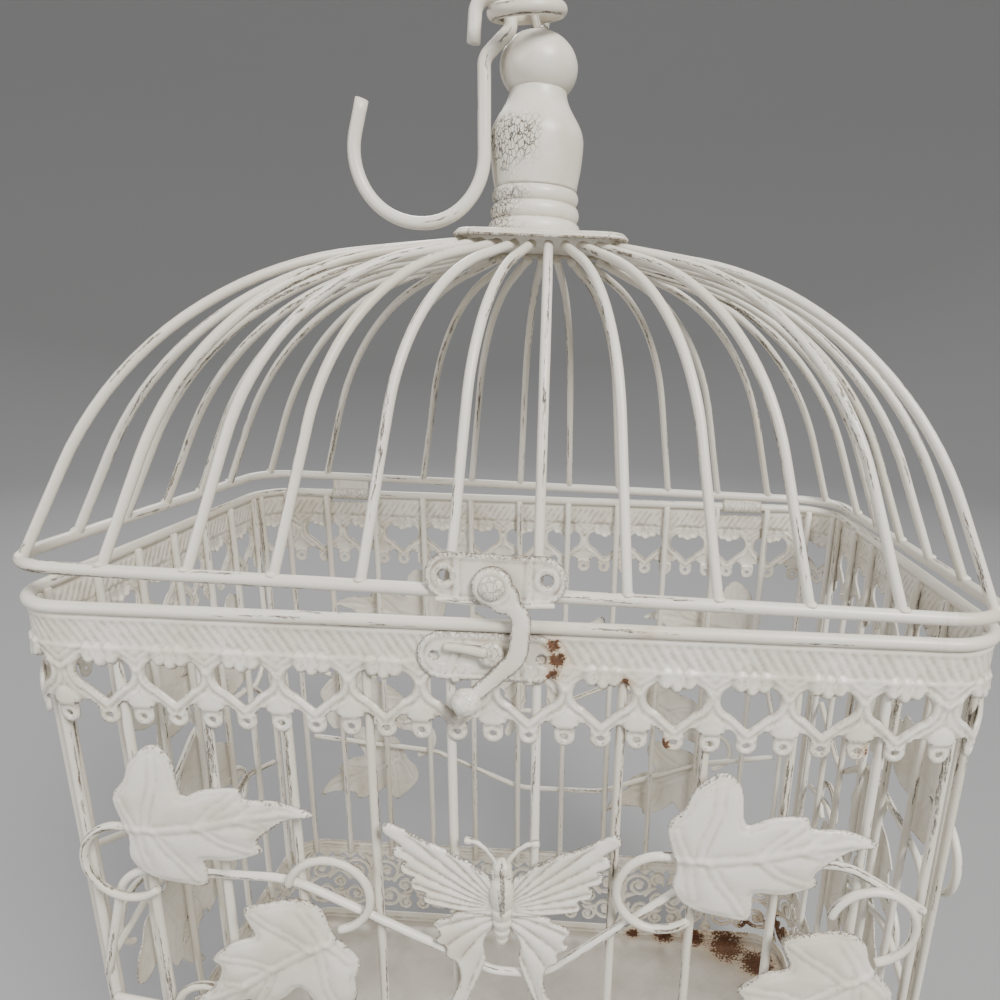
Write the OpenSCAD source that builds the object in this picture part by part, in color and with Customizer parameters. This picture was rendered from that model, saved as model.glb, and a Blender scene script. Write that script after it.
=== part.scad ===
// Domed wire bird cage with a hinged lid, a front latch, a hanging hook and leaf trim.
// Units are millimetres, +Z is up and the front wall faces -Y.
// The origin is on the ground, under the middle of the cage.

/* [Cage] */
// Width between the centrelines of the side rim wires
cage_w = 250; // [246:1:256]
// Depth between the centrelines of the front and back rim wires
cage_d = 150; // [148:1:156]
// Radius of the rounded corners, at the rim centreline
corner_r = 16; // [15:0.5:18]
// Thickness of the rim wires and the bottom frame
rim_wire = 3.4; // [3.2:0.1:3.6]
// Height of the top rim of the cage body
rim_z = 250; // [244:1:290]
// Height of the bottom frame
base_z = 18; // [16:1:22]

/* [Bars] */
// Thickness of the upright bars
bar_wire = 2.5; // [2.2:0.1:2.6]
// Number of bars across the front and across the back
front_bars = 10; // [6:1:10]
// Spacing of the bars and ribs across the front and the back
front_pitch = 21.5; // [20:0.5:22.5]
// Number of bars along each side
side_bars = 7; // [4:1:7]
// Spacing of the bars along each side
side_pitch = 20; // [16:0.5:20]

/* [Bands] */
// Thickness of the stamped sheet bands
sheet = 0.8; // [0.6:0.1:1]
// Number of hearts along the front band
front_hearts = 12; // [10:1:12]
// Number of hearts along each side band
side_hearts = 6; // [5:1:6]
// Depth of the heart band below the rim
heart_drop = 26.2; // [25.8:0.1:27]
// Height of the top edge of the scroll band
scroll_top = 68; // [66:1:72]
// Thickness of the floor sheet
floor_t = 0.8; // [0.6:0.1:1.2]

/* [Lid] */
// Lid rim above the body rim at the hinge, between centrelines
lid_gap = 6.1; // [5.8:0.1:7]
// Sideways tilt of the seated lid, in degrees
lid_roll = 0.96; // [0:0.02:1]
// Front-to-back tilt of the seated lid, in degrees
lid_pitch = -0.84; // [-1:0.02:-0.6]
// Thickness of the dome ribs
rib_wire = 2.6; // [2.4:0.1:2.8]
// Number of ribs on each side of the dome
side_ribs = 5; // [3:2:5]
// Underside of the crown plate above the body rim
crown_z = 92.8; // [88:0.1:96]
// Width of the crown plate
crown_w = 50; // [48:1:54]
// Depth of the crown plate
crown_d = 46; // [42:1:50]
// Thickness of the crown plate
crown_t = 2; // [1.5:0.1:3]
// Crown plate to the right of the finial's axis
crown_x = 3.5; // [1:0.5:4]

/* [Hinge] */
// Distance of each hinge sleeve from the middle
hinge_x = 86; // [70:1:90]
// Length of a hinge sleeve
hinge_len = 16; // [12:1:18]
// Radial clearance of every turning fit
run_gap = 0.06; // [0.03:0.01:0.09]

/* [Finial] */
// Radius of the slightly flat ball on top of the finial
ball_r = 11.3; // [10.8:0.1:11.4]
// Half the height of that ball
ball_h = 9.2; // [9:0.1:9.4]
// Middle of that ball above the body rim
ball_z = 141; // [140:0.1:144]

/* [Hook] */
// Thickness of the ring and of the hook
hook_wire = 3.8; // [3.4:0.1:4]
// Radius of the ring's centreline
ring_r = 9.2; // [9:0.1:9.6]
// Turn of the screw eye about its shank, in degrees
ring_turn = 18; // [14:1:20]
// Rest angle of the ring below level, in degrees
ring_tilt = 15; // [12:1:16]
// Ring wire above the middle of the finial's ball
eye_rise = 13.1; // [12.8:0.1:14]

/* [Latch] */
// Latch pivot to the right of the middle
latch_x = 0.4; // [0:0.1:1]
// Latch pivot above the body rim
latch_z = 8.9; // [8.6:0.1:9.2]
// Thickness of the latch lever
lever_t = 1.6; // [1.4:0.1:2]

/* [Trim] */
// Thickness of the vine wires and leaf stems
vine_wire = 2.4; // [2.2:0.1:2.5]
// Thickness of the leaf sheet
leaf_t = 0.9; // [0.7:0.1:1]
// Size of the leaves: 1 gives a leaf 48 mm long
leaf_size = 1.1; // [0.9:0.05:1.1]

/* [Hidden] */
$fn = 48;

paint = [0.87, 0.85, 0.80];
wood = [0.90, 0.88, 0.83];
tin = [0.72, 0.69, 0.64];

front_run = cage_w - 2*corner_r;   // straight part of the front and back walls
side_run = cage_d - 2*corner_r;    // straight part of the side walls
rim_skirt = 1.3;                   // a band starts this far from the rim centreline
bar_in = 1.5;                      // bar centres sit this far inside the rim centreline
bar_tuck = 6;                      // bars go this far behind the scroll band

// Heart band, measured down from the rim
heart_lobe_r = 3.9;
heart_lobe_x = 3.4;
heart_lobe_z = -16.8;
heart_tip_z = -24.4;
tab_r = 2.2;
tab_z = -heart_drop - 3;
tab_hole_r = 0.85;
corner_tab_x = 8.4;

// Scroll band, measured up from its own lower edge
scroll_foot = base_z + 1.2;
scroll_h = scroll_top - scroll_foot;
cut_low = 7.5;                     // top of the plain lower rail
cut_high = scroll_h - 9;           // underside of the plain upper rail
cut_mid = (cut_low + cut_high)/2;

// Trim, measured outward from the rim centreline
vine_n = 0.85;
wing_n = 1.95;
leaf_n = 2.7;
tendril_n = leaf_n + leaf_t/2;
wing_t = 1.05;

// Hinge, latch, finial and hook
sleeve_r = rim_wire/2 + 0.9;
plate_t = 1;
keeper_y = -cage_d/2 - 0.3;        // back face of the keeper plate
plate_y = -cage_d/2 - 1.6;         // back face of the latch plate
lever_y = -cage_d/2 - 3.35;        // back face of the lever
rivet_r = 1.5;
foot_r = 7;
finial_z = crown_z + crown_t;
eye_z = ball_z + eye_rise;
eye_r = 4.1;
eye_wire = 2.2;

// ---------- drawing helpers ----------

function unit(a, b) = (b - a)/norm(b - a);
function cross_z(u, v) = u[0]*v[1] - u[1]*v[0];
function turn_at(p, i) = acos(max(-1, min(1, unit(p[i-1], p[i])*unit(p[i], p[i+1]))));
// straight length that the bend at corner i takes from each of its legs
function bend_leg(p, R, i) = (i <= 0 || i >= len(p) - 1) ? 0 : R[i]*tan(turn_at(p, i)/2);

// Corners of a bent path: each bend is an arc, taken in steps of at most bend_step degrees
bend_step = 11;
function bend_points(p, R, i) =
  let(
    u = unit(p[i-1], p[i]),
    side = sign(cross_z(u, unit(p[i], p[i+1]))),
    start = p[i] - u*bend_leg(p, R, i),
    centre = start + R[i]*side*[-u[1], u[0]],
    a = atan2(start[1] - centre[1], start[0] - centre[0]),
    steps = ceil(turn_at(p, i)/bend_step)
  )
  [for (j = [0:steps])
    let(t = a + side*turn_at(p, i)*j/steps) centre + R[i]*[cos(t), sin(t)]];
function path_points(p, R) =
  concat([p[0]], [for (i = [1:len(p)-2]) each bend_points(p, R, i)], [p[len(p)-1]]);

// Direction of a path at point i, and how much its mitred cross-section stretches there
function heading(q, i) =
  let(w = (i > 0 ? unit(q[i-1], q[i]) : [0, 0]) + (i < len(q)-1 ? unit(q[i], q[i+1]) : [0, 0]))
  w/norm(w);
function stretch(q, i) = 1/(heading(q, i)*unit(q[max(i-1, 0)], q[max(i, 1)]));

// Bent round wire in the XY plane, through corners p with bend radii R
module bent_wire(p, R, d, sides=8) {
  q = path_points(p, R);
  last = len(q) - 1;
  points = [for (i = [0:last])
    let(t = heading(q, i), n = [-t[1], t[0]]*stretch(q, i))
    for (k = [0:sides-1])
      let(a = 360*(k + 0.5)/sides, c = q[i] + n*d/2*cos(a)) [c[0], c[1], d/2*sin(a)]];
  walls = [for (i = [0:last-1], k = [0:sides-1])
    let(m = (k + 1) % sides)
    [i*sides + k, (i + 1)*sides + k, (i + 1)*sides + m, i*sides + m]];
  polyhedron(points, concat(walls, [[for (k = [0:sides-1]) k]],
    [[for (k = [sides-1:-1:0]) last*sides + k]]));
}

// Outline of a flat strip of width w along the same kind of path
function offset_points(q, o) =
  [for (i = [0:len(q)-1])
    let(t = unit(q[max(i-1, 0)], q[min(i+1, len(q)-1)])) q[i] + o*[-t[1], t[0]]];
function reversed(q) = [for (i = [len(q)-1:-1:0]) q[i]];
module strip(p, R, w) {
  q = path_points(p, R);
  polygon(concat(offset_points(q, w/2), reversed(offset_points(q, -w/2))));
}

// Closed smooth curve through a few points
function around(p, i) = p[(i + len(p)) % len(p)];
function curve_point(a, b, c, d, t) =
  0.5*(2*b + (c - a)*t + (2*a - 5*b + 4*c - d)*t*t + (3*b - a - 3*c + d)*t*t*t);
function smooth(p, steps=3) =
  [for (i = [0:len(p)-1], j = [0:steps-1])
    curve_point(around(p, i-1), p[i], around(p, i+1), around(p, i+2), j/steps)];

// Closed rounded frame of round wire, lying flat
module frame_wire(w, d, r, wire) {
  for (s = [-1, 1]) {
    translate([-(w/2 - r), s*d/2, 0]) rotate([0, 90, 0]) cylinder(h=w - 2*r, d=wire);
    translate([s*w/2, -(d/2 - r), 0]) rotate([-90, 0, 0]) cylinder(h=d - 2*r, d=wire);
  }
  for_corners(w, d, r) rotate_extrude(angle=90) translate([r, 0]) circle(d=wire);
}
module for_corners(w, d, r) {
  for (q = [[1, 1, 0], [-1, 1, 90], [-1, -1, 180], [1, -1, 270]])
    translate([q[0]*(w/2 - r), q[1]*(d/2 - r), 0]) rotate(q[2]) children();
}
module cage_corners() for_corners(cage_w, cage_d, corner_r) children();
module rounded_sheet(w, d, r) {
  square([w - 2*r, d], center=true);
  square([w, d - 2*r], center=true);
  for (x = [-1, 1], y = [-1, 1]) translate([x*(w/2 - r), y*(d/2 - r)]) circle(r=r);
}

// Stands a wall drawing on each wall: x along the wall, y up, thickness outward
module on_front() translate([0, -cage_d/2, 0]) rotate([90, 0, 0]) children();
module on_back() rotate(180) on_front() children();
module on_right() translate([cage_w/2, 0, 0]) rotate([90, 0, 90]) children();
module on_left() rotate(180) on_right() children();
// Stands a drawing across a rounded corner, as a cutter or a mask
module across_corner(z) rotate(45) translate([0, 0, z]) rotate([90, 0, 90])
  linear_extrude(height=2*corner_r) children();
// Puts a piece drawn on a level lid where the slightly skewed lid rests
module lid_seat() translate([0, cage_d/2, rim_z]) rotate([lid_pitch, lid_roll, 0])
  translate([0, -cage_d/2, 0]) children();

// ---------- heart band ----------

// A heart with a three-lobed drip hanging into it from above
module heart_hole() difference() {
  union() {
    for (s = [-1, 1]) translate([s*heart_lobe_x, heart_lobe_z]) circle(r=heart_lobe_r);
    polygon([[-6.9, -18.5], [-heart_lobe_x, -14.5], [heart_lobe_x, -14.5], [6.9, -18.5],
      [0.5, heart_tip_z], [-0.5, heart_tip_z]]);
  }
  for (x = [-2.7, 2.7]) translate([x, -12.7]) circle(r=1.75);
  translate([0, -13.3]) circle(r=1.75);
}
module tab(x) translate([x, 0]) difference() {
  union() {
    translate([-tab_r, tab_z]) square([2*tab_r, 1 - heart_drop - tab_z]);
    translate([0, tab_z]) circle(r=tab_r);
  }
  translate([0, tab_z]) circle(r=tab_hole_r);
}
module heart_strip(run, hearts) {
  pitch = run/hearts;
  difference() {
    translate([-run/2, -heart_drop]) square([run, heart_drop - rim_skirt]);
    for (i = [0:hearts-1]) translate([pitch*(i + 0.5) - run/2, 0]) {
      heart_hole();
      for (s = [-1, 1]) translate([s*pitch/4, -heart_drop - 0.2]) circle(r=1.3);
    }
  }
  for (i = [1:2*hearts-1]) tab(pitch*i/2 - run/2);
}
module heart_wall(run, hearts) translate([0, rim_z, -sheet/2])
  linear_extrude(height=sheet) heart_strip(run, hearts);
module corner_tube(z0, z1) translate([0, 0, z0])
  rotate_extrude(angle=90) translate([corner_r - sheet/2, 0]) square([sheet, z1 - z0]);
module corner_heart() intersection() {
  corner_tube(rim_z + tab_z - 3, rim_z - rim_skirt);
  across_corner(rim_z) {
    difference() {
      translate([-13, -heart_drop]) square([26, heart_drop]);
      heart_hole();
    }
    for (x = [-corner_tab_x, 0, corner_tab_x]) tab(x);
  }
}
// Room in the back band for the two hinge sleeves
module hinge_notch() for (s = [-1, 1])
  translate([s*hinge_x - hinge_len/2 - 0.6, -sleeve_r - 0.5, -3]) cube([hinge_len + 1.2, 6, 6]);

// ---------- scroll band ----------

// Everything that is pierced in one repeat, less the curled ends that stay
module scroll_repeat(pitch) difference() {
  union() {
    for (s = [-1, 1]) scale([s, 1]) {
      translate([0.14*pitch, cut_high - 6.2]) circle(r=4.6);
      translate([0.355*pitch, cut_high - 5.2]) circle(r=3.7);
      translate([0.15*pitch, cut_low + 4.9]) circle(r=3.9);
      translate([0.36*pitch, cut_low + 6]) circle(r=4.6);
      polygon([[0.25*pitch, cut_mid - 1.5], [0.31*pitch, cut_mid + 3.2],
        [0.455*pitch, cut_mid + 2.2], [0.4*pitch, cut_mid - 0.8]]);
      polygon([[0.03*pitch, cut_mid - 2.4], [0.12*pitch, cut_mid + 0.4],
        [0.22*pitch, cut_mid + 0.2], [0.13*pitch, cut_mid - 2.6]]);
      polygon([[0.47*pitch, cut_low], [0.47*pitch, cut_low + 4.5], [0.425*pitch, cut_low]]);
      polygon([[0.215*pitch, cut_low], [0.25*pitch, cut_low + 3.4], [0.28*pitch, cut_low]]);
    }
    polygon([[-1.5, cut_high], [1.5, cut_high], [0, cut_high - 6]]);
    polygon([[-1.8, cut_low], [1.8, cut_low], [0, cut_low + 5]]);
  }
  for (s = [-1, 1]) scale([s, 1]) {
    curled_end(0.14*pitch - 0.6, cut_high - 6.6, -5);
    curled_end(0.36*pitch + 0.4, cut_low + 5.8, 5.4);
  }
}
module curled_end(x, y, reach) translate([x, y]) {
  circle(r=1.9);
  translate([min(0, reach), -0.8]) square([abs(reach), 1.6]);
}
module scroll_wall(run, repeats) {
  pitch = run/repeats;
  translate([0, scroll_foot, -sheet/2]) linear_extrude(height=sheet) difference() {
    translate([-run/2, 0]) square([run, scroll_h]);
    for (i = [0:repeats-1]) translate([pitch*(i + 0.5) - run/2, 0]) scroll_repeat(pitch);
  }
}
module corner_scroll() difference() {
  corner_tube(scroll_foot, scroll_top);
  across_corner(scroll_foot) {
    for (s = [-1, 1]) {
      translate([s*5.2, cut_high - 6]) circle(r=3.6);
      translate([s*5.2, cut_low + 5.5]) circle(r=3.8);
      polygon([[s*2, scroll_h/2 - 4], [s*7.6, scroll_h/2], [s*2, scroll_h/2 + 3]]);
    }
    translate([0, cut_high - 12]) circle(r=1.6);
  }
}

// ---------- bars ----------

module bar(x, y) translate([x, y, scroll_top - bar_tuck])
  cylinder(h=rim_z - 1 - scroll_top + bar_tuck, d=bar_wire);
module front_row(s) for (i = [0:front_bars-1])
  bar((i - (front_bars - 1)/2)*front_pitch, s*(cage_d/2 - bar_in));
module side_row(s) for (i = [0:side_bars-1])
  bar(s*(cage_w/2 - bar_in), (i - (side_bars - 1)/2)*side_pitch);

// ---------- vines, leaves and butterfly ----------

// One ivy leaf, from its stem at the origin to the tip on the right
leaf_outline = [[0, -2], [-2.6, 8], [1, 13.4], [3.2, 18.6], [9, 23], [13.5, 19.4], [15, 10.6],
  [21, 12.4], [28.6, 12.8], [30.2, 10], [38, 9.6], [46, 6], [39, 4.3], [32, -1.6], [32.6, -5],
  [25, -7.8], [18.6, -7.8], [18.4, -12], [17.6, -15.8], [12, -15.4], [3.7, -13.5], [-0.4, -8.6]];
module leaf(x, drop, a) translate([x, rim_z - drop]) rotate(a)
  scale(leaf_size) polygon(smooth(leaf_outline));
module leaf_sheet() translate([0, 0, leaf_n]) linear_extrude(height=leaf_t) children();
module stem_loop(x, drop, r, a, sweep) translate([x, rim_z - drop, tendril_n]) rotate(a)
  rotate_extrude(angle=sweep) translate([r, 0]) circle(d=vine_wire);
module stem_run(x, drop, run) translate([x, rim_z - drop, tendril_n]) rotate([0, 90, 0])
  cylinder(h=run, d=vine_wire);

spray_x = [-97, 48];               // left end of each spray of three leaves
module front_leaves() leaf_sheet() for (x = spray_x) {
  leaf(x, 60, 0);
  leaf(x + 54, 92, 203);
  leaf(x + 20, 132, -38);
}
module front_stems() for (x = spray_x) {
  stem_loop(x - 3.3, 72.3, 11.5, 90, 222);
  stem_run(x - 3.3, 60.8, 7);
  stem_loop(x + 52.5, 79.4, 11.3, -78, 243);
  stem_loop(x + 14.6, 122.6, 9.5, 60, 200);
}
// Vine wire through corners p
module vine(p, R) translate([0, rim_z, vine_n]) bent_wire(p, R, vine_wire);
module front_vine() {
  vine([[-113, -113], [-103, -76.4], [-56, -76.4], [0, -103.6], [14, -103.6], [62, -62.4],
    [93, -62.4], [114, -75]], [0, 11, 30, 12, 14, 22, 18, 0]);
  vine([[-112, -122], [-76, -128], [-30, -146], [10, -146], [52, -128], [112, -123]],
    [0, 20, 26, 26, 20, 0]);
}
module side_vine() {
  vine([[-59, -94], [-46, -82], [-2, -77], [26, -98], [59, -84]], [0, 14, 16, 14, 0]);
  vine([[-59, -128], [-34, -119], [8, -131], [34, -119], [59, -126]], [0, 16, 18, 14, 0]);
}
module side_leaves() leaf_sheet() {
  leaf(-50, 62, 0);
  leaf(-4, 60, 10);
  leaf(8, 92, 203);
  leaf(-22, 132, -38);
  leaf(30, 128, -120);
}
module side_stems() {
  stem_loop(-51.3, 74.3, 11.5, 90, 222);
  stem_run(-51.3, 62.8, 7);
  stem_loop(6.5, 79.4, 11.3, -78, 243);
  stem_loop(-27.4, 122.6, 9.5, 60, 200);
  stem_loop(40, 124, 10, -60, 240);
}

// Right half of the butterfly, its origin at the middle of the body
upper_wing = [[0, -2], [1, 6], [9, 14], [20, 20], [30, 24.6], [31, 21.5], [27, 18.6],
  [28.8, 16], [25.6, 14], [27, 11.4], [23.6, 9.4], [24.6, 6], [20.6, 4], [21, 1], [16, -1.4],
  [6, -2.6]];
lower_wing = [[0, -3], [7, -2.4], [14, -3.6], [18.4, -7], [17, -9.8], [18.4, -12.6],
  [15, -14.4], [14.6, -18], [11, -20], [12.4, -28], [15.4, -36], [13, -38.6], [9, -31],
  [6, -23], [4.2, -18], [5, -12], [3, -8]];
feeler = [[1.2, 12], [4.5, 18.5], [9.6, 20.2]];
body_r = 2.6;
module butterfly() translate([2.6, rim_z - 80, wing_n]) {
  for (s = [0, 1]) mirror([s, 0, 0]) {
    linear_extrude(height=wing_t) {
      polygon(smooth(upper_wing));
      polygon(smooth(lower_wing));
    }
    translate([0, 0, 0.7]) {
      for (i = [0, 1]) {
        run = feeler[i+1] - feeler[i];
        translate([feeler[i][0], feeler[i][1], 0]) rotate([0, 90, atan2(run[1], run[0])])
          cylinder(h=norm(run), d=1.3);
      }
      translate([feeler[1][0], feeler[1][1], 0]) sphere(r=0.9);
      translate([feeler[2][0], feeler[2][1], 0]) sphere(r=1.15);
    }
  }
  intersection() {
    translate([0, 0, 0.2]) {
      translate([0, -9, 0]) rotate([-90, 0, 0]) cylinder(h=20, r=body_r);
      translate([0, 11, 0]) sphere(r=body_r + 0.3);
      translate([0, -9, 0]) sphere(r=body_r);
    }
    translate([-10, -20, 0]) cube([20, 40, 10]);
  }
}

// ---------- lid ----------

// Rib from foot f on the lid rim to t under the crown: an upright leg, one bend, a sloping leg
module rib(f, t) {
  reach = norm(t - f);
  rise = crown_z - rib_wire/2 + 0.1 - lid_gap;
  knee = [0.3*reach, 0.83*rise];
  end = [reach, rise];
  leg = 0.67*min(norm(knee), norm(end - knee));
  bend_r = leg/tan(acos(unit([0, 0], knee)*unit(knee, end))/2);
  translate([f[0], f[1], lid_gap]) rotate(atan2(t[1] - f[1], t[0] - f[0])) rotate([90, 0, 0])
    bent_wire([[0, 0], knee, end], [0, bend_r, 0], rib_wire);
}
module front_ribs(s) for (i = [0:front_bars-1]) {
  k = i - (front_bars - 1)/2;
  rib([k*front_pitch, s*cage_d/2], [crown_x + k*4.8, s*(crown_d/2 - 5)]);
}
module side_rib_row(s) for (i = [0:side_ribs-1]) {
  k = i - (side_ribs - 1)/2;
  rib([s*cage_w/2, k*22], [crown_x + s*(crown_w/2 - 4), k*6.6]);
}

// Radius of the finial's bulb, from its foot (t = 0) to its neck (t = 1)
function bulb(t) = t < 0.5 ? 12.3 + 1.5*sin(180*t) : 11.1 + 2.7*cos(360*(t - 0.5));
module torus_step(z, h, r) {
  translate([0, z]) square([r - h/2, h]);
  translate([r - h/2, z + h/2]) circle(r=h/2);
}

// The ring's own frame: x along the wire inside the eye, -y away from the eye
module ring_seat() translate([0, 0, eye_z]) rotate(-ring_turn) rotate([ring_tilt, 0, 0])
  children();
// Point of the ring's frame in lid coordinates, from the eye
function ring_point(x, y) =
  let(b = -ring_turn, v = y*cos(ring_tilt))
  [x*cos(b) - v*sin(b), x*sin(b) + v*cos(b), y*sin(ring_tilt)];
// The hook hangs on the ring's left-most point
hang = ring_point(-ring_r*cos(ring_turn), -ring_r*(1 + sin(ring_turn)));
hook_path = [[-5.6, -7], [-5, 4.2], [4.6, 4.2], [4.6, -3.6], [-2.6, -10.6], [-2, -53.6],
  [-45.6, -53.6], [-37.6, -21.6]];
hook_bends = [0, 4.4, 4.4, 3, 4.5, 18.8, 18.8, 0];

// ---------- cage body pieces ----------

module base_frame() color(paint) translate([0, 0, base_z])
  frame_wire(cage_w, cage_d, corner_r, rim_wire);
module feet() color(paint) for (x = [-1, 1], y = [-1, 1])
  translate([x*(cage_w/2 - 6), y*(cage_d/2 - 6), 0]) {
    intersection() {
      translate([0, 0, foot_r - 0.5]) sphere(r=foot_r);
      cylinder(h=3*foot_r, r=2*foot_r);
    }
    translate([0, 0, foot_r]) cylinder(h=base_z - 0.6 - foot_r, r=3.2);
  }
module floor_panel() color(tin) translate([0, 0, base_z + rim_wire/2 - 0.2])
  linear_extrude(height=floor_t) rounded_sheet(cage_w - 0.9, cage_d - 0.9, corner_r - 0.45);
module scroll_band_front() color(paint) on_front() scroll_wall(front_run, 5);
module scroll_band_back() color(paint) on_back() scroll_wall(front_run, 5);
module scroll_band_left() color(paint) on_left() scroll_wall(side_run, 3);
module scroll_band_right() color(paint) on_right() scroll_wall(side_run, 3);
module scroll_band_corners() color(paint) cage_corners() corner_scroll();
module bars_front() color(paint) front_row(-1);
module bars_back() color(paint) front_row(1);
module bars_left() color(paint) side_row(-1);
module bars_right() color(paint) side_row(1);
module bars_corner() color(paint) cage_corners()
  for (a = [22, 68]) rotate(a) bar(corner_r - bar_in, 0);
module rim_frame() color(paint) translate([0, 0, rim_z])
  frame_wire(cage_w, cage_d, corner_r, rim_wire);
module heart_band_front() color(paint) on_front() heart_wall(front_run, front_hearts);
module heart_band_back() color(paint) difference() {
  on_back() heart_wall(front_run, front_hearts);
  translate([0, cage_d/2, rim_z]) rotate([90, 0, 0]) hinge_notch();
}
module heart_band_left() color(paint) on_left() heart_wall(side_run, side_hearts);
module heart_band_right() color(paint) on_right() heart_wall(side_run, side_hearts);
module heart_band_corners() color(paint) cage_corners() corner_heart();
module vine_front() color(paint) on_front() front_vine();
module vine_back() color(paint) on_back() front_vine();
module vine_left() color(paint) on_left() side_vine();
module vine_right() color(paint) on_right() side_vine();
module tendrils_front() color(paint) on_front() front_stems();
module tendrils_back() color(paint) on_back() front_stems();
module tendrils_left() color(paint) on_left() side_stems();
module tendrils_right() color(paint) on_right() side_stems();
module leaves_front() color(paint) on_front() front_leaves();
module leaves_back() color(paint) on_back() front_leaves();
module leaves_left() color(paint) on_left() side_leaves();
module leaves_right() color(paint) on_right() side_leaves();
module butterfly_front() color(paint) on_front() butterfly();
module butterfly_back() color(paint) on_back() butterfly();
module keeper_plate() color(paint) translate([-1, keeper_y, rim_z - 8]) rotate([90, 0, 0])
  linear_extrude(height=plate_t) difference() {
    union() {
      square([22.5, 12.6], center=true);
      for (s = [-1, 1]) translate([s*11.25, 0]) circle(r=6.3);
    }
    for (s = [-1, 1]) translate([s*13.2, 0]) circle(r=1.2);
  }
// A round-headed peg on a short arm that lies along the keeper plate
module keeper_peg() color(paint) translate([0, keeper_y - 1.85, rim_z - 6.8]) {
  translate([0, 0.95, 0]) rotate([90, 0, 0]) cylinder(h=1.95, r=3.3);
  translate([-11.6, 0, 0.6]) rotate([0, 90, 0]) cylinder(h=9, d=1.8);
  translate([-11.6, 0, 0.6]) sphere(r=1.15);
}

// ---------- lid pieces ----------

module lid_frame() color(paint) lid_seat() translate([0, 0, lid_gap])
  frame_wire(cage_w, cage_d, corner_r, rim_wire);
module ribs_front() color(paint) lid_seat() front_ribs(-1);
module ribs_back() color(paint) lid_seat() front_ribs(1);
module ribs_left() color(paint) lid_seat() side_rib_row(-1);
module ribs_right() color(paint) lid_seat() side_rib_row(1);
module ribs_corner() color(paint) lid_seat() {
  inset = corner_r*(1 - cos(45));
  for (x = [-1, 1], y = [-1, 1])
    rib([x*(cage_w/2 - inset), y*(cage_d/2 - inset)],
      [crown_x + x*(crown_w/2 - 2.5), y*(crown_d/2 - 6)]);
}
module crown_plate() color(paint) lid_seat() translate([crown_x, 0, crown_z])
  linear_extrude(height=crown_t) rounded_sheet(crown_w, crown_d, 7);
module finial() color(wood) lid_seat() rotate_extrude() {
  foot = finial_z + 13.8;
  neck = ball_z - 0.65*ball_h;
  torus_step(finial_z, 5.1, 13.95);
  torus_step(finial_z + 5, 4.7, 13.4);
  torus_step(finial_z + 9.6, 4.3, 13);
  polygon(concat([[0, neck], [0, foot]],
    [for (k = [0:20]) [bulb(k/20), foot + (neck - foot)*k/20]]));
  polygon([for (a = [-45:9:90]) [ball_r*cos(a), ball_z + ball_h*sin(a)],
    [0, ball_z - 0.8*ball_h]]);
}
module screw_eye() color(paint) lid_seat() {
  translate([0, 0, eye_z + 0.4]) rotate(-ring_turn) rotate([90, 0, 90])
    rotate_extrude() translate([eye_r, 0]) circle(d=eye_wire);
  translate([0, 0, ball_z]) cylinder(h=eye_rise + 0.4 - eye_r, d=eye_wire + 0.2);
}
module latch_plate() color(paint) lid_seat() translate([latch_x + 0.5, plate_y, latch_z + 1.4])
  rotate([90, 0, 0]) difference() {
    union() {
      linear_extrude(height=plate_t) {
        square([22, 12], center=true);
        for (s = [-1, 1]) translate([s*11, 0]) circle(r=6);
      }
      translate([-0.5, -1.4, plate_t]) cylinder(h=0.55, r=5.6);
    }
    for (s = [-1, 1]) translate([s*12.6, 0, -1]) cylinder(h=4, r=1.2);
  }
// Rivet with a domed head, flush in front of the lever
module latch_rivet() color(paint) lid_seat() translate([latch_x, lever_y + 1.2, latch_z])
  rotate([90, 0, 0]) {
    cylinder(h=lever_t + 1.4, r=rivet_r);
    translate([0, 0, lever_t + 1.36]) intersection() {
      translate([0, 0, -2.9]) sphere(r=4.2);
      cylinder(h=2, r=2*rivet_r);
    }
  }
// Two sleeves that turn on the back rim wire, each with a strap up to the lid rim
module hinge_sleeves() color(paint) for (s = [-1, 1])
  translate([s*hinge_x - hinge_len/2, cage_d/2, rim_z]) {
    strap_top = lid_gap - s*hinge_x*sin(lid_roll) - rim_wire/2 + 0.9;
    difference() {
      union() {
        rotate([0, 90, 0]) cylinder(h=hinge_len, r=sleeve_r);
        translate([0, -0.6, sleeve_r - 0.4]) cube([hinge_len, 1.2, strap_top - sleeve_r + 0.4]);
      }
      translate([-1, 0, 0]) rotate([0, 90, 0]) cylinder(h=hinge_len + 2, r=rim_wire/2 + run_gap);
    }
  }

// ---------- moving hardware ----------

// Flat hooked lever with a round knob at its lower end
module latch_lever() color(paint) lid_seat() translate([latch_x, lever_y, latch_z])
  rotate([90, 0, 0]) difference() {
    union() {
      linear_extrude(height=lever_t) {
        circle(r=4.9);
        strip([[2.6, -2.2], [7.3, -7.4], [6.4, -17.6], [-5.2, -29.2]], [0, 5, 7, 0], 3.9);
      }
      translate([-5.8, -29.8, 0]) intersection() {
        translate([0, 0, lever_t/2]) sphere(r=3.8);
        cylinder(h=5, r=5);
      }
    }
    translate([0, 0, -1]) cylinder(h=5, r=rivet_r + run_gap);
  }
module hanging_ring() color(paint) lid_seat() ring_seat() translate([0, -ring_r, 0])
  rotate_extrude() translate([ring_r, 0]) circle(d=hook_wire);
module hanging_hook() color(paint) lid_seat() translate([hang[0], hang[1], eye_z + hang[2]])
  rotate([90, 0, 0]) bent_wire(hook_path, hook_bends, hook_wire, 12);

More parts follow.
